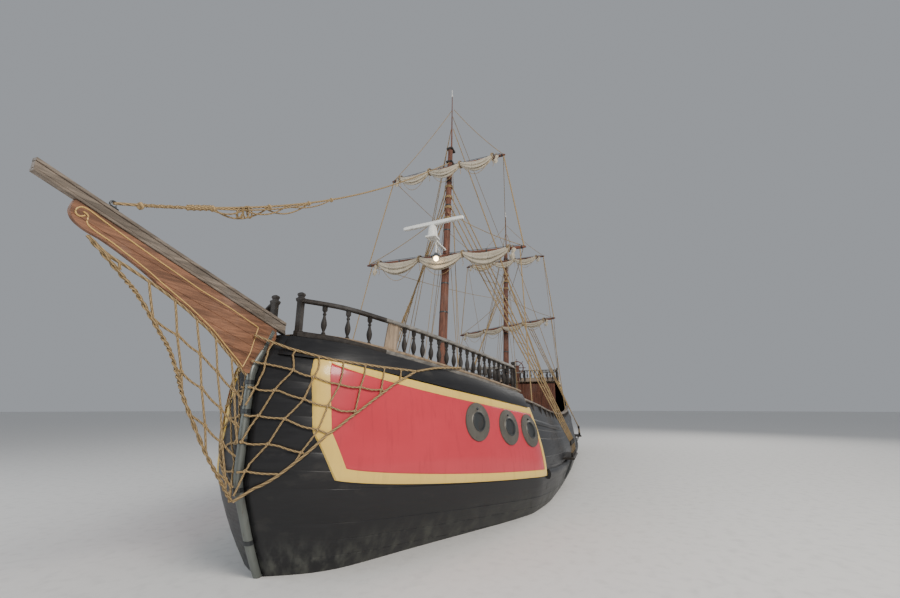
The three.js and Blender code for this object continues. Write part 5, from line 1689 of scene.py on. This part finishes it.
def clews(yard):
    """The sail's two lower corners, gathered into a knotted bunch that hangs outside the last ties.

    Each is cloth wound 1.6 times round a hanging line, pinched at its tie, with folds that twist downwards.
    """
    t = np.linspace(0, 1, 40)[:, None]
    a = np.linspace(0, 2 * np.pi * CLEW_TURNS, 72)[None]
    width = np.interp(t, [0, 0.12, 0.3, 0.42, 0.62, 0.85, 1], [0.02, 0.075, 0.07, 0.04, 0.095, 0.06, 0.012])
    fold = (1 + 0.3 * np.sin(5 * a + 4 * t) + 0.08 * np.sin(11 * a - 6 * t)) * (1 - 0.05 * a)
    bunches = []
    for way in (-1, 1):
        x = 0.13 + 0.05 * t + width * fold * np.cos(a)
        y = way * (yard["half"] * SAIL_SPAN + 0.12) + width * fold * np.sin(a) + 0.03 * np.cos(4 * t)
        points = xyz(x, y, -0.03 - yard["clew"] * t)
        bunches.append(grid(points))
    wide = float(np.linalg.norm(np.diff(points, axis=1), axis=2).sum(1).mean())
    return together(bunches), 2 * wide, yard["clew"] * 1.1


def gaskets(yard):
    """Ties round yard and roll at the swags' ends, tails that hang, and buntline loops below."""
    ties = []
    half = yard["half"] * SAIL_SPAN
    swags = yard["swags"]
    a = angles(25)
    for k in range(swags + 1):
        y = half * (2 * k / swags - 1) * 0.985
        for shift in (-0.03, 0.0, 0.03):
            loop = xyz(0.072 + 0.182 * np.cos(a), y + shift + 0.012 * np.sin(a), -0.012 + 0.125 * np.sin(a))
            ties.append(tube(loop, 0.0105, 6))
        outer = way_out(k, swags) * 0.16
        if outer:
            loop = xyz(0.05 + 0.14 * np.cos(a), y + outer + 0.015 * np.sin(3 * a), -0.012 + 0.11 * np.sin(a))
            ties.append(tube(loop, 0.0105, 6))
        tail = bend([(0.2, y, -0.1), (0.23, y + 0.02, -0.25), (0.19, y + 0.05, -0.4),
                     (0.2, y + 0.03, -0.52)], 14)
        ties.append(tube(tail, 0.009, 6))
    for k in range(swags):
        ends = half * (2 * np.array([k + 0.06, k + 0.94]) / swags - 1)
        t = np.linspace(0, 1, 30)
        y = ends[0] + (ends[1] - ends[0]) * t
        z = -0.05 - (yard["drop"] + 0.38 - 0.04 * k) * np.sin(np.pi * t) ** 0.8
        ties.append(tube(xyz(0.17 + 0.05 * np.sin(np.pi * t), y, z), 0.0095, 6))
    return ties


# Standing rigging
SHROUDS = {
    "fore_shrouds": {"mast": FOREMAST, "head": 10.0, "first": 9.5, "count": 4},
    "main_shrouds": {"mast": MAINMAST, "head": 10.1, "first": 20.45, "count": 3},
}
DEADEYE = [(0.03, -0.035), (0.075, -0.03), (0.085, -0.012), (0.07, 0.0), (0.085, 0.012), (0.075, 0.03),
           (0.03, 0.035)]
SHROUD_STEP = 0.48
SHROUD_HEAD_STEP = 0.5
CHANNEL_OUT = 0.38
CHANNEL_RISE = 0.19


class GALLEON_OT_shrouds(bpy.types.Operator):
    """Rigs the shrouds: channels, chains, deadeyes with lanyards, knotted shrouds and ratlines"""

    bl_idname = "galleon.shrouds"
    bl_label = "Shrouds and ratlines"

    def execute(self, context):
        for name, rig in SHROUDS.items():
            rig_mast(name, rig)
        return {"FINISHED"}


def rig_mast(name, rig):
    """One mast's shrouds, worked out to port and mirrored."""
    sizes = bpy.context.scene.galleon_sizes
    mast, first, count = rig["mast"], rig["first"], rig["count"]
    z0 = float(wale_z(first)) + CHANNEL_RISE
    stations = first + SHROUD_STEP * np.arange(count)
    feet = side(section_of(stations, z0), z0 + 0.035, CHANNEL_OUT - 0.09)
    z_head = rig["head"] + SHROUD_HEAD_STEP * np.arange(count)
    heads = mast_at(mast, z_head, 0.0, mast_radius(mast, z_head) + 0.001)
    eyes = feet + (0, 0, 0.42)
    ropes, dead, chains, rows = [], [], [], []
    deadeye = lathe(DEADEYE, 18).moved(np.stack([AHEAD, UP, PORT], 1))
    for foot, eye, top in zip(feet, eyes, heads):
        low_eye, high_eye = foot + (0, 0, 0.1), eye + unit(top - eye) * 0.05
        t = np.linspace(0, 1, 160) * np.linalg.norm(top - high_eye)
        knots = np.maximum(0, np.cos(2 * np.pi * t / sizes.ratline_step)) ** 12
        lumps = sizes.shroud_rope * (1 + 0.2 * knots)
        ropes.append(rod(high_eye, top, lumps, 8, 160))
        dead += [deadeye.moved(None, low_eye), deadeye.moved(None, high_eye)]
        for shift in (-0.035, 0.0, 0.035):
            ropes.append(rod(low_eye + (shift, 0.02, 0), high_eye + (shift, 0.02, 0), 0.009))
            ropes.append(rod(low_eye + (-shift, -0.02, 0), high_eye + (shift, -0.02, 0), 0.009))
        plate = side(section_of(BOW - foot[0], z0 - 0.6), z0 - 0.62, 0.03)
        chains.append(rod(plate, low_eye - (0, 0, 0.03), 0.014))
        rows.append((high_eye, top))
    rows = np.array(rows)
    levels = np.arange(2.1, rig["head"] - 1.2, sizes.ratline_step)
    knot = lathe([(0.01, -0.03), (0.028, -0.018), (0.032, 0.0), (0.027, 0.018), (0.01, 0.03)], 8)
    for z in levels:
        share = (z - rows[:, 0, 2]) / (rows[:, 1, 2] - rows[:, 0, 2])
        points = rows[:, 0] + (rows[:, 1] - rows[:, 0]) * share[:, None]
        fine = bend(points, 9 * (count - 1) + 1)
        fine[:, 2] -= 0.02 * np.abs(np.sin(np.pi * np.linspace(0, count - 1, len(fine))))
        fine = np.concatenate([fine[:1] + (0.09, 0, 0.01), fine, fine[-1:] - (0.09, 0, -0.01)])
        ropes += [tube(fine, 0.0085, 6), knot.copies(points)]
    a = angles(25)
    for z in z_head:
        r = float(mast_radius(mast, z)) + 0.022
        for k in (-0.03, 0.02):
            loop = xyz(r * np.cos(a), r * np.sin(a), k + 0.02 * np.sin(a))
            ropes.append(tube(mast_at(mast, z) + loop, 0.02, 6))
    put(f"{name}_ropes", both(together(ropes)), laid_rope(0.11), stands_for=sides_of(name))
    put(f"{name}_deadeyes", both(together(dead)), timber("dark_timber", "z"), clean="outwards")
    put(f"{name}_chains", both(together(chains)), metal("dark_iron", 0.6))
    sections = np.linspace(first - 0.25, first + (count - 1) * SHROUD_STEP + 0.2, 8)
    low, high = (lambda s: z0 + 0 * s), (lambda s: z0 + 0.07 + 0 * s)
    channel = band(sections, low, high, 5, CHANNEL_OUT - 0.03, 0.03, 0.03)
    put(f"{name}_channels", both(channel), timber("dark_timber", "x"))


FORESTAY = {"foot": -2.93, "foot_up": 0.07, "head": 12.65, "sag": (0.78, 0.33)}


def forestay_path(count):
    """The forestay: straight from bowsprit to mast, less 4 * sag * t * (1 - t); sag eases up the stay."""
    low = at(FORESTAY["foot"], 0, sprit_z(FORESTAY["foot"], 1.0) + FORESTAY["foot_up"])
    high = mast_at(FOREMAST, FORESTAY["head"], mast_radius(FOREMAST, FORESTAY["head"]) * 1.0055 + 0.001)
    return sagged(low, high, np.linspace(*FORESTAY["sag"], count), count)


class GALLEON_OT_stays(bpy.types.Operator):
    """Rigs the forestay with its servings and coils of rope, the mainstay and the backstays"""

    bl_idname = "galleon.stays"
    bl_label = "Stays"

    def execute(self, context):
        path = forestay_path(481)
        share = np.linspace(0, 1, 481)
        ropes = [tube(path, 0.019, 8)]
        for a, b, width, turns in ((0.026, 0.072, 0.016, 9), (0.074, 0.108, 0.026, 4)):
            served = (share > a) & (share < b)
            t = (share[served] - a) / (b - a)
            for k in range(3):
                turn = 2 * np.pi * (k / 3 + turns * t)
                around = xyz(0, width * np.cos(turn), width * np.sin(turn))
                ropes.append(tube(path[served] + around, 0.9 * width, 7))
        loops = [(0.104, 0.16, 0.11, 0.02), (0.11, 0.2, 0.19, -0.03), (0.15, 0.235, 0.15, 0.03),
                 (0.19, 0.285, 0.17, -0.02), (0.104, 0.3, 0.06, 0.035), (0.23, 0.344, 0.1, 0.02)]
        for a, b, drop, aside in loops:
            pick = (share >= a) & (share <= b)
            swing = np.maximum(np.sin(np.pi * (share[pick] - a) / (b - a)), 0)
            ropes.append(tube(path[pick] + xyz(0, aside * swing, -drop * swing**0.8), 0.014, 7))
        knot = lathe([(0.012, -0.05), (0.036, -0.03), (0.045, 0.0), (0.036, 0.03), (0.012, 0.05)], 12)
        for at_share in (0.023, 0.107, 0.2, 0.285, 0.344):
            ropes.append(knot.moved(None, path[np.searchsorted(share, at_share)] - (0, 0, 0.01)))
        put("forestay_rope", together(ropes), laid_rope(0.1), stands_for=["forestay"])
        stay_coils(path, share)
        eye_plate(path[0])
        other_stays()
        return {"FINISHED"}


def stay_coils(path, share):
    """A small bunch of rope coils in the stay's loops, hung side by side."""
    coils = []
    a = angles(25)
    for k, at_share in enumerate((0.146, 0.152, 0.158, 0.165)):
        centre = path[np.searchsorted(share, at_share)] - (0, 0, 0.085)
        loop = xyz(0.05 * np.cos(a), 0.02 * (-1) ** k + 0.03 * np.sin(a), 0.085 * np.sin(a + 0.3 * k))
        coils.append(tube(centre + loop, 0.013, 6))
    put("stay_coils", together(coils), laid_rope(0.1))


def eye_plate(low):
    """The plate and eye at the stay's foot, on the bowsprit."""
    station = BOW - low[0] + np.array([[-0.05], [0.05]])
    y, up = np.array([(-0.038, 0.002), (-0.038, 0.018), (0.038, 0.018), (0.038, 0.002)]).T
    plate = solid(at(station, y, sprit_z(station, 1.0) + up))
    a = angles(21)
    eye = tube(low - (0, 0, 0.015) + xyz(0.035 * np.cos(a), 0, 0.04 * np.sin(a)), 0.012, 8)
    put("forestay_eye", together([plate, eye]), metal("dark_iron", 0.6), clean="outwards")


def other_stays():
    """The mainstay, topmast stay and backstays, straight between their ends."""
    low = at(9.15, 0, deck_top(9.15) + 0.1)
    high = mast_at(MAINMAST, 10.9, mast_radius(MAINMAST, 10.9) * 1.011 + 0.001)
    ropes = [rod(low, high, 0.028, 8, 60)]
    ropes.append(rod(mast_at(FOREMAST, 15.3, -0.11), mast_at(MAINMAST, 12.75, 0.14), 0.014, 6, 30))
    put("mainstay_rope", together(ropes), laid_rope(0.1), stands_for=["mainstay"])
    heart = blocks([low - (0.075, 0.06, 0.11)], [low + (0.075, 0.06, 0.03)])
    put("mainstay_heart", heart, timber("dark_timber", "x"), bevel=0.02)
    backs = []
    for mast, z, stations in ((FOREMAST, 14.6, (11.6, 12.1)), (MAINMAST, 14.2, (22.6, 23.1))):
        for station in stations:
            up = -RAIL_DROP if station < CASTLE_BREAK else 0.9
            backs.append(rod(side(station, sheer_z(station) + up, 0.03), mast_at(mast, z, -0.1, 0.05),
                             0.0165, 6, 40))
    put("backstays", both(together(backs)), laid_rope(0.07))


# Where sheets and braces lead: a station on the rail, or height, forward and aside on the main mast.
SHEET_RAIL = {"fore_course": 6.9, "main_course": 18.6}
BRACE_MAST = {"fore_course": (9.3, 0.2, 0.1), "fore_topsail": (10.8, 0.16, 0.08)}
BRACE_RAIL = {"main_course": 26.0, "main_topsail": 25.2}


class GALLEON_OT_running(bpy.types.Operator):
    """Leads the running rigging: lifts, braces, sheets, leech lines and halyards"""

    bl_idname = "galleon.running"
    bl_label = "Running rigging"

    def execute(self, context):
        radius = context.scene.galleon_sizes.line_rope
        for name, yard in YARDS.items():
            mast = yard["mast"]
            top = mast["top"] - 1.0 if "topsail" in name else yard["z"] + 2.1
            lead = -0.12 if "topsail" in name else 0.16
            for way, sign in WAYS:
                head = mast_at(mast, top, lead, sign * 0.05)
                stretched_line(f"{name}_lift_{way}", head, yard_point(yard, sign * 0.955, 0.0, 0.07), name,
                               radius, 0.12)
                if name in SHEET_RAIL:
                    station = SHEET_RAIL[name]
                    rail = side(station, sheer_z(station) - RAIL_DROP + 0.06, -0.06) * (1, sign, 1)
                    tack = yard_point(yard, sign * 0.93, 0, -0.05)
                    stretched_line(f"{name}_sheet_{way}", rail, tack, name, radius * 1.4, 0.03)
                if name in BRACE_MAST:
                    z, forward, aside = BRACE_MAST[name]
                    brace = mast_at(MAINMAST, z, forward, sign * aside)
                else:
                    station = BRACE_RAIL[name]
                    brace = side(station, sheer_z(station) + 1.2, -0.02) * (1, sign, 1)
                end = yard_point(yard, sign * 0.965, -0.06, 0.0)
                stretched_line(f"{name}_brace_{way}", brace, end, name, radius * 0.9, 0.18)
        for mast in ("fore", "main"):
            lower, upper = YARDS[f"{mast}_course"], YARDS[f"{mast}_topsail"]
            lines = []
            for sign in (1, -1):
                a, b = yard_point(lower, sign * 0.975, 0.0, 0.05), yard_point(upper, sign * 0.975, 0.0, -0.05)
                lines.append(rod(a, b, radius * 1.75, 6, 20))
            put(f"{mast}_course_leech_lines", together(lines), laid_rope(0.06), f"{mast}_course")
        halyard_falls()
        return {"FINISHED"}


def stretched_line(name, fixed, arm, body, radius, sag):
    """A line from the hull to a yard that stretches between the two as the yard swings."""
    piece = put(name, tube(sagged(fixed, arm, sag, 40), radius, 6), laid_rope(0.06), None)
    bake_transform(piece)


def halyard_falls():
    """Halyards and falls that come down beside the masts to the pin rails."""
    falls = []
    for mast, heads in ((FOREMAST, (12.2, 8.0, 10.4)), (MAINMAST, (11.8, 7.2, 10.0))):
        for k, head in enumerate(heads):
            for sign in (1, -1):
                top = mast_at(mast, head, -0.02 - 0.05 * k, sign * (mast_radius(mast, head) + 0.03))
                foot = mast_at(mast, mast["deck_z"] + 0.86, 0.12 - 0.2 * k, sign * FIFE_HALF)
                falls.append(rod(foot, top, 0.011, 6, 30))
    put("halyard_falls", together(falls), laid_rope(0.05))


# Radar, lamp, steering and deck gear
RADAR_STATION = 7.26
RADAR_FOOT = 8.48
RADAR_AXLE = 9.04
LAMP_STATION = 7.63
LAMP_TOP = 8.06


class GALLEON_OT_radar(bpy.types.Operator):
    """Fits the radar on its bracket and the lit lamp below it"""

    bl_idname = "galleon.radar"
    bl_label = "Radar and lamp"

    def execute(self, context):
        x = BOW - RADAR_STATION
        z = RADAR_FOOT
        white = plain("white_paint", 0.35)
        plate = blocks([(x - 0.22, -0.2, z + 0.001), (mast_at(FOREMAST, z, 0.17)[0], -0.06, z)],
                       [(x + 0.22, 0.2, z + 0.059), (x + 0.2, 0.06, z + 0.06)])
        put("radar_bracket", plate, white, bevel=0.012)
        stand = lathe([(0.175, 0.058), (0.185, 0.07), (0.18, 0.1), (0.168, 0.24), (0.155, 0.37), (0.13, 0.46),
                       (0.115, 0.483)], 28)
        drop = rod(at(LAMP_STATION, 0, z + 0.01), at(LAMP_STATION, 0, LAMP_TOP + 0.001), 0.02, 10, 3)
        brace = rod((x - 0.1, 0, z), mast_at(FOREMAST, 8.0, 0.17), 0.022, 8, 3)
        put("radar_stand_casing", together([stand.moved(None, (x, 0, z)), drop, brace]), white,
            stands_for=["radar_stand"])
        y = np.linspace(-1.22, 1.22, 30)
        taper = 1 - 0.12 * np.abs(y / 1.22) ** 4
        taper[[0, -1]] = 0.7
        a = 2 * np.pi * (np.arange(24) + 0.5) / 24
        round_square = xyz(np.cos(a), np.sin(a))[::-1]
        round_square = np.sign(round_square) * np.abs(round_square) ** 0.55 * 0.075
        lean = math.radians(7)
        path = xyz(x + y * math.sin(lean), y * math.cos(lean), RADAR_AXLE + 0.03)
        bar = carried(path, round_square, UP, taper)
        neck = lathe([(0.09, -0.069), (0.095, -0.06), (0.09, -0.04), (0.075, -0.03)], 24)
        neck = neck.moved(None, (x, 0, RADAR_AXLE))
        put("radar_bar", together([bar, neck]), white, "radar", ["radar_scanner"])
        add_lamp()
        return {"FINISHED"}


def add_lamp():
    """A round shade on a neck, with a lit bulb below."""
    place = at(LAMP_STATION, 0, LAMP_TOP)
    cover = lathe([(0.02, -0.065), (0.06, -0.07), (0.115, -0.12), (0.145, -0.17), (0.152, -0.165),
                   (0.15, -0.14), (0.12, -0.1), (0.075, -0.05), (0.062, -0.03), (0.06, 0.0)], 28)
    put("lamp_shade", cover.moved(None, place), plain("dark_iron", 0.45), stands_for=["mast_lamp"])
    a = np.linspace(0.06, np.pi - 0.35, 16)
    bulb = lathe(xyz(0.088 * np.sin(a), -0.215 - 0.095 * np.cos(a)), 24)
    put("lamp_bulb", bulb.moved(None, place), glow())


WHEEL_STATION = 23.1
WHEEL_UP = 0.95
WHEEL_RADIUS = 0.43
SPOKES = 8


class GALLEON_OT_steering(bpy.types.Operator):
    """Turns the steering wheel and its stand, and finishes the rudder, keel and propeller"""

    bl_idname = "galleon.steering"
    bl_label = "Steering gear"

    def execute(self, context):
        floor = float(castle_top(WHEEL_STATION))
        centre = at(WHEEL_STATION, 0, floor + WHEEL_UP)
        wood = timber("red_brown", "z")
        x = centre[0]
        base = blocks([(x + 0.08, -0.16, floor), (x + 0.06, -0.19, floor), (x + 0.07, -0.18, floor + 1.02)],
                      [(x + 0.24, 0.16, floor + 1.05), (x + 0.26, 0.19, floor + 0.08),
                       (x + 0.25, 0.18, floor + 1.09)])
        axle = carried(line(centre + (0.13, 0, 0), centre + (0.0505, 0, 0), 3), circle(16, 0.055))
        put("wheel_pedestal", together([base, axle]), wood, stands_for=["wheel_stand"], bevel=0.01)
        a = angles(65)[:, None]
        wide, out = np.array([(-0.034, -0.03), (-0.038, 0.0), (-0.034, 0.03), (0.034, 0.03), (0.038, 0.0),
                              (0.034, -0.03)]).T
        out = WHEEL_RADIUS + out
        parts = [grid(xyz(wide, out * np.cos(a), out * np.sin(a)), around=True)]
        hub = [(0.05, -0.049), (0.085, -0.045), (0.09, 0.0), (0.085, 0.045), (0.05, 0.049)]
        parts.append(lathe(hub, 24).moved([[0, 0, 1], [0, 1, 0], [-1, 0, 0]]))
        shape = lathe([(0.018, 0.08), (0.024, 0.12), (0.03, 0.2), (0.022, 0.28), (0.018, 0.32), (0.02, 0.39),
                       (0.02, 0.47), (0.014, 0.49), (0.023, 0.53), (0.026, 0.565), (0.018, 0.595),
                       (0.004, 0.6)], 10)
        for k in range(SPOKES):
            t = 2 * math.pi * k / SPOKES
            parts.append(shape.moved([[1, 0, 0], [0, math.cos(t), math.sin(t)],
                                      [0, -math.sin(t), math.cos(t)]]))
        wheel = together(parts).moved(None, centre)
        put("wheel_rim_and_spokes", wheel, wood, "wheel", ["steering_wheel"], clean="merge")
        for node in ("rudder", "keel"):
            dress(node, plain("antifouling", 0.6))
        for node in ("propeller", "propeller_shaft"):
            dress(node, metal("bronze", 0.9))
        return {"FINISHED"}


def dress(node, look):
    """Gives a solid that stays in view its finish."""
    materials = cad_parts[node].data.materials
    materials.clear()
    materials.append(look[0])


HATCH_STATIONS = (11.6, 15.6)
FIFE_HALF = 0.75
TREAD_RISE = 0.235


class GALLEON_OT_gear(bpy.types.Operator):
    """Adds deck gear: hatches with gratings, pin rails, ladders and a capstan"""

    bl_idname = "galleon.gear"
    bl_label = "Deck gear"

    def execute(self, context):
        dark = timber("dark_timber", "x")
        red = timber("red_brown", "x")
        for number, station in enumerate(HATCH_STATIONS):
            z = float(deck_top(station))
            x = BOW - station
            lows = xyz(x + np.array([-0.75, -0.75, -0.75, 0.65]), (-0.6, 0.5, -0.6, -0.6), z - 0.03)
            highs = xyz(x + np.array([0.75, 0.75, -0.65, 0.75]), (-0.5, 0.6, 0.6, 0.6), z + 0.2)
            coaming = blocks(lows, highs)
            put(f"hatch_coaming_{number}", coaming, red, bevel=0.012)
            bars_x = np.arange(-0.64, 0.65, 0.08)
            bars_y = np.arange(-0.48, 0.5, 0.08)
            lows = [(x + b - 0.018, -0.5, z + 0.12) for b in bars_x]
            lows += [(x - 0.65, b - 0.018, z + 0.135) for b in bars_y]
            highs = [(x + b + 0.018, 0.5, z + 0.165) for b in bars_x]
            highs += [(x + 0.65, b + 0.018, z + 0.185) for b in bars_y]
            put(f"hatch_grating_{number}", blocks(lows, highs), dark)
        pin_rails()
        ladders()
        capstan()
        return {"FINISHED"}


def pin_rails():
    """A fife rail round each mast: two posts each side, a rail and belaying pins."""
    wood, pins = [], []
    pin = lathe([(0.012, -0.16), (0.013, 0.0), (0.02, 0.01), (0.022, 0.03), (0.014, 0.06), (0.02, 0.11),
                 (0.022, 0.15), (0.004, 0.17)], 10)
    for mast in (FOREMAST, MAINMAST):
        foot = mast_at(mast, mast["deck_z"])
        x, z = foot[0], mast["deck_z"]
        for sign in (-1, 1):
            y = sign * FIFE_HALF
            wood.append(blocks([(x - 0.42, y - 0.05, z - 0.1), (x + 0.34, y - 0.05, z - 0.1),
                                (x - 0.48, y - 0.07, z + 0.78)],
                               [(x - 0.34, y + 0.05, z + 0.8), (x + 0.42, y + 0.05, z + 0.8),
                                (x + 0.48, y + 0.07, z + 0.85)]))
            pins.append(pin.copies([(x + s, y, z + 0.84) for s in (-0.24, -0.12, 0.0, 0.12, 0.24)]))
    put("pin_rails", together(wood), timber("red_brown", "x"), bevel=0.012)
    put("belaying_pins", together(pins), timber("red_brown", "z"))


def ladders():
    """Steps up to the forecastle and to the quarter deck: two stringers and treads between."""
    shapes = []
    for station, top, run, places in (
        (FORECASTLE_BREAK, sheer_z(FORECASTLE_BREAK), 0.75, (-1.1, 1.1)),
        (CASTLE_BREAK - 0.16, castle_top(CASTLE_BREAK), -1.5, (0.0,)),
    ):
        low_station = station + run
        low_z = deck_top(low_station)
        count = int((top - low_z) / TREAD_RISE)
        t = (np.arange(count) + 1) / (count + 0.6)
        for y in places:
            for edge in (y - 0.34, y + 0.34):
                path = line(at(low_station, edge, low_z),
                            at(station + math.copysign(0.06, run), edge, top + 0.05), 3)
                shapes.append(carried(path, plank(0.022, 0.09)))
            lows = at(low_station - run * t + 0.1, y - 0.33, low_z + (top - low_z) * t - 0.02)
            shapes.append(blocks(lows, lows + (0.2, 0.66, 0.035)))
    put("ladders", together(shapes), timber("red_brown", "y", (0, 0, 0)), bevel=0.006)


def capstan():
    """A drum capstan on the forecastle."""
    drum = lathe([(0.26, 0.0), (0.26, 0.05), (0.17, 0.08), (0.14, 0.2), (0.15, 0.36), (0.2, 0.44),
                  (0.23, 0.46), (0.23, 0.56), (0.2, 0.59), (0.01, 0.6)], 24)
    put("capstan", drum.moved(None, at(2.9, 0, sheer_z(2.9))), timber("red_brown", "z"))


# Stage
class GALLEON_OT_stage(bpy.types.Operator):
    """Sets the pale floor at the waterline, the soft lights and the camera"""

    bl_idname = "galleon.stage"
    bl_label = "Stage"

    def execute(self, context):
        add_floor()
        world = bpy.data.worlds.new("Studio")
        world.use_nodes = True
        background = world.node_tree.nodes["Background"]
        background.inputs[0].default_value = (0.80, 0.84, 0.9, 1)
        background.inputs[1].default_value = 0.42
        context.scene.world = world
        add_light("key", (24, 22, 20), (4, 0, 3), 7900, 12, (1.0, 0.95, 0.88))
        add_light("fill", (26, -16, 12), (2, 0, 5), 2300, 14, (0.9, 0.95, 1.0))
        add_light("back", (-24, 16, 22), (-4, 0, 5), 3800, 14, (1.0, 0.97, 0.92))
        add_camera(context.scene)
        return {"FINISHED"}


def add_floor():
    """A wide disc at the waterline."""
    a = 2 * np.pi * np.arange(96) / 96
    radii = np.array([0.01, 20, 60, 400])[:, None]
    disc = grid(xyz(radii * np.cos(a), radii * np.sin(a), 0), around=True, turn=True)
    put("studio_floor", disc, plain("floor", 0.7), None)


def add_light(name, place, aim, power, size, hue):
    """A square area light turned to its aim."""
    data = bpy.data.lights.new(name, "AREA")
    data.energy, data.size, data.color = power, size, hue
    lamp = bpy.data.objects.new(name, data)
    bpy.context.scene.collection.objects.link(lamp)
    lamp.matrix_world = looking(np.array(place, float), np.array(aim, float))


def add_camera(scene):
    """The photograph's view: from ahead on the port side, level with the rail and tilted up."""
    settings = scene.galleon_stage
    data = bpy.data.cameras.new("camera")
    data.lens, data.sensor_width = settings.lens, 36.0
    data.clip_start, data.clip_end = 0.05, 500.0
    camera = bpy.data.objects.new("camera", data)
    scene.collection.objects.link(camera)
    place = at(settings.station, settings.breadth, settings.height)
    pitch = math.radians(settings.pitch)
    level = np.array([-0.9438, -0.3305, 0.0])
    camera.matrix_world = looking(place, place + level * math.cos(pitch) + UP * math.sin(pitch))
    scene.camera = camera


def looking(place, aim):
    """The placing matrix of a camera or light at place that looks at aim, with its top up."""
    back = unit(place - aim)
    right = unit(np.cross(UP, back))
    up = np.cross(back, right)
    matrix = np.eye(4)
    matrix[:3, 0], matrix[:3, 1], matrix[:3, 2], matrix[:3, 3] = right, up, back, place
    return Matrix(matrix.tolist())


OPERATORS = (
    GALLEON_OT_stage,
    GALLEON_OT_hull,
    GALLEON_OT_panels,
    GALLEON_OT_portholes,
    GALLEON_OT_decks,
    GALLEON_OT_rails,
    GALLEON_OT_bow,
    GALLEON_OT_net,
    GALLEON_OT_castle,
    GALLEON_OT_masts,
    GALLEON_OT_yards,
    GALLEON_OT_sails,
    GALLEON_OT_shrouds,
    GALLEON_OT_stays,
    GALLEON_OT_running,
    GALLEON_OT_radar,
    GALLEON_OT_steering,
    GALLEON_OT_gear,
)


class GALLEON_PT_panel(bpy.types.Panel):
    """Lists the galleon's pieces in the sidebar"""

    bl_idname = "GALLEON_PT_panel"
    bl_label = "Galleon"
    bl_space_type = "VIEW_3D"
    bl_region_type = "UI"
    bl_category = "Galleon"

    def draw(self, context):
        for operator in OPERATORS:
            self.layout.operator(operator.bl_idname)
        for group in (context.scene.galleon_sizes, context.scene.galleon_colours,
                      context.scene.galleon_stage):
            for name in group.__annotations__:
                self.layout.prop(group, name)


GROUPS = {"galleon_sizes": GalleonSizes, "galleon_colours": GalleonColours, "galleon_stage": GalleonStage}


def register():
    for group in GROUPS.values():
        bpy.utils.register_class(group)
    for name, group in GROUPS.items():
        setattr(bpy.types.Scene, name, bpy.props.PointerProperty(type=group))
    for kind in (*OPERATORS, GALLEON_PT_panel):
        bpy.utils.register_class(kind)


def unregister():
    for kind in (GALLEON_PT_panel, *reversed(OPERATORS)):
        bpy.utils.unregister_class(kind)
    for name, group in GROUPS.items():
        delattr(bpy.types.Scene, name)
        bpy.utils.unregister_class(group)


def main():
    register()
    for operator in OPERATORS:
        group, name = operator.bl_idname.split(".")
        getattr(getattr(bpy.ops, group), name)()


if __name__ == "__main__":
    main()
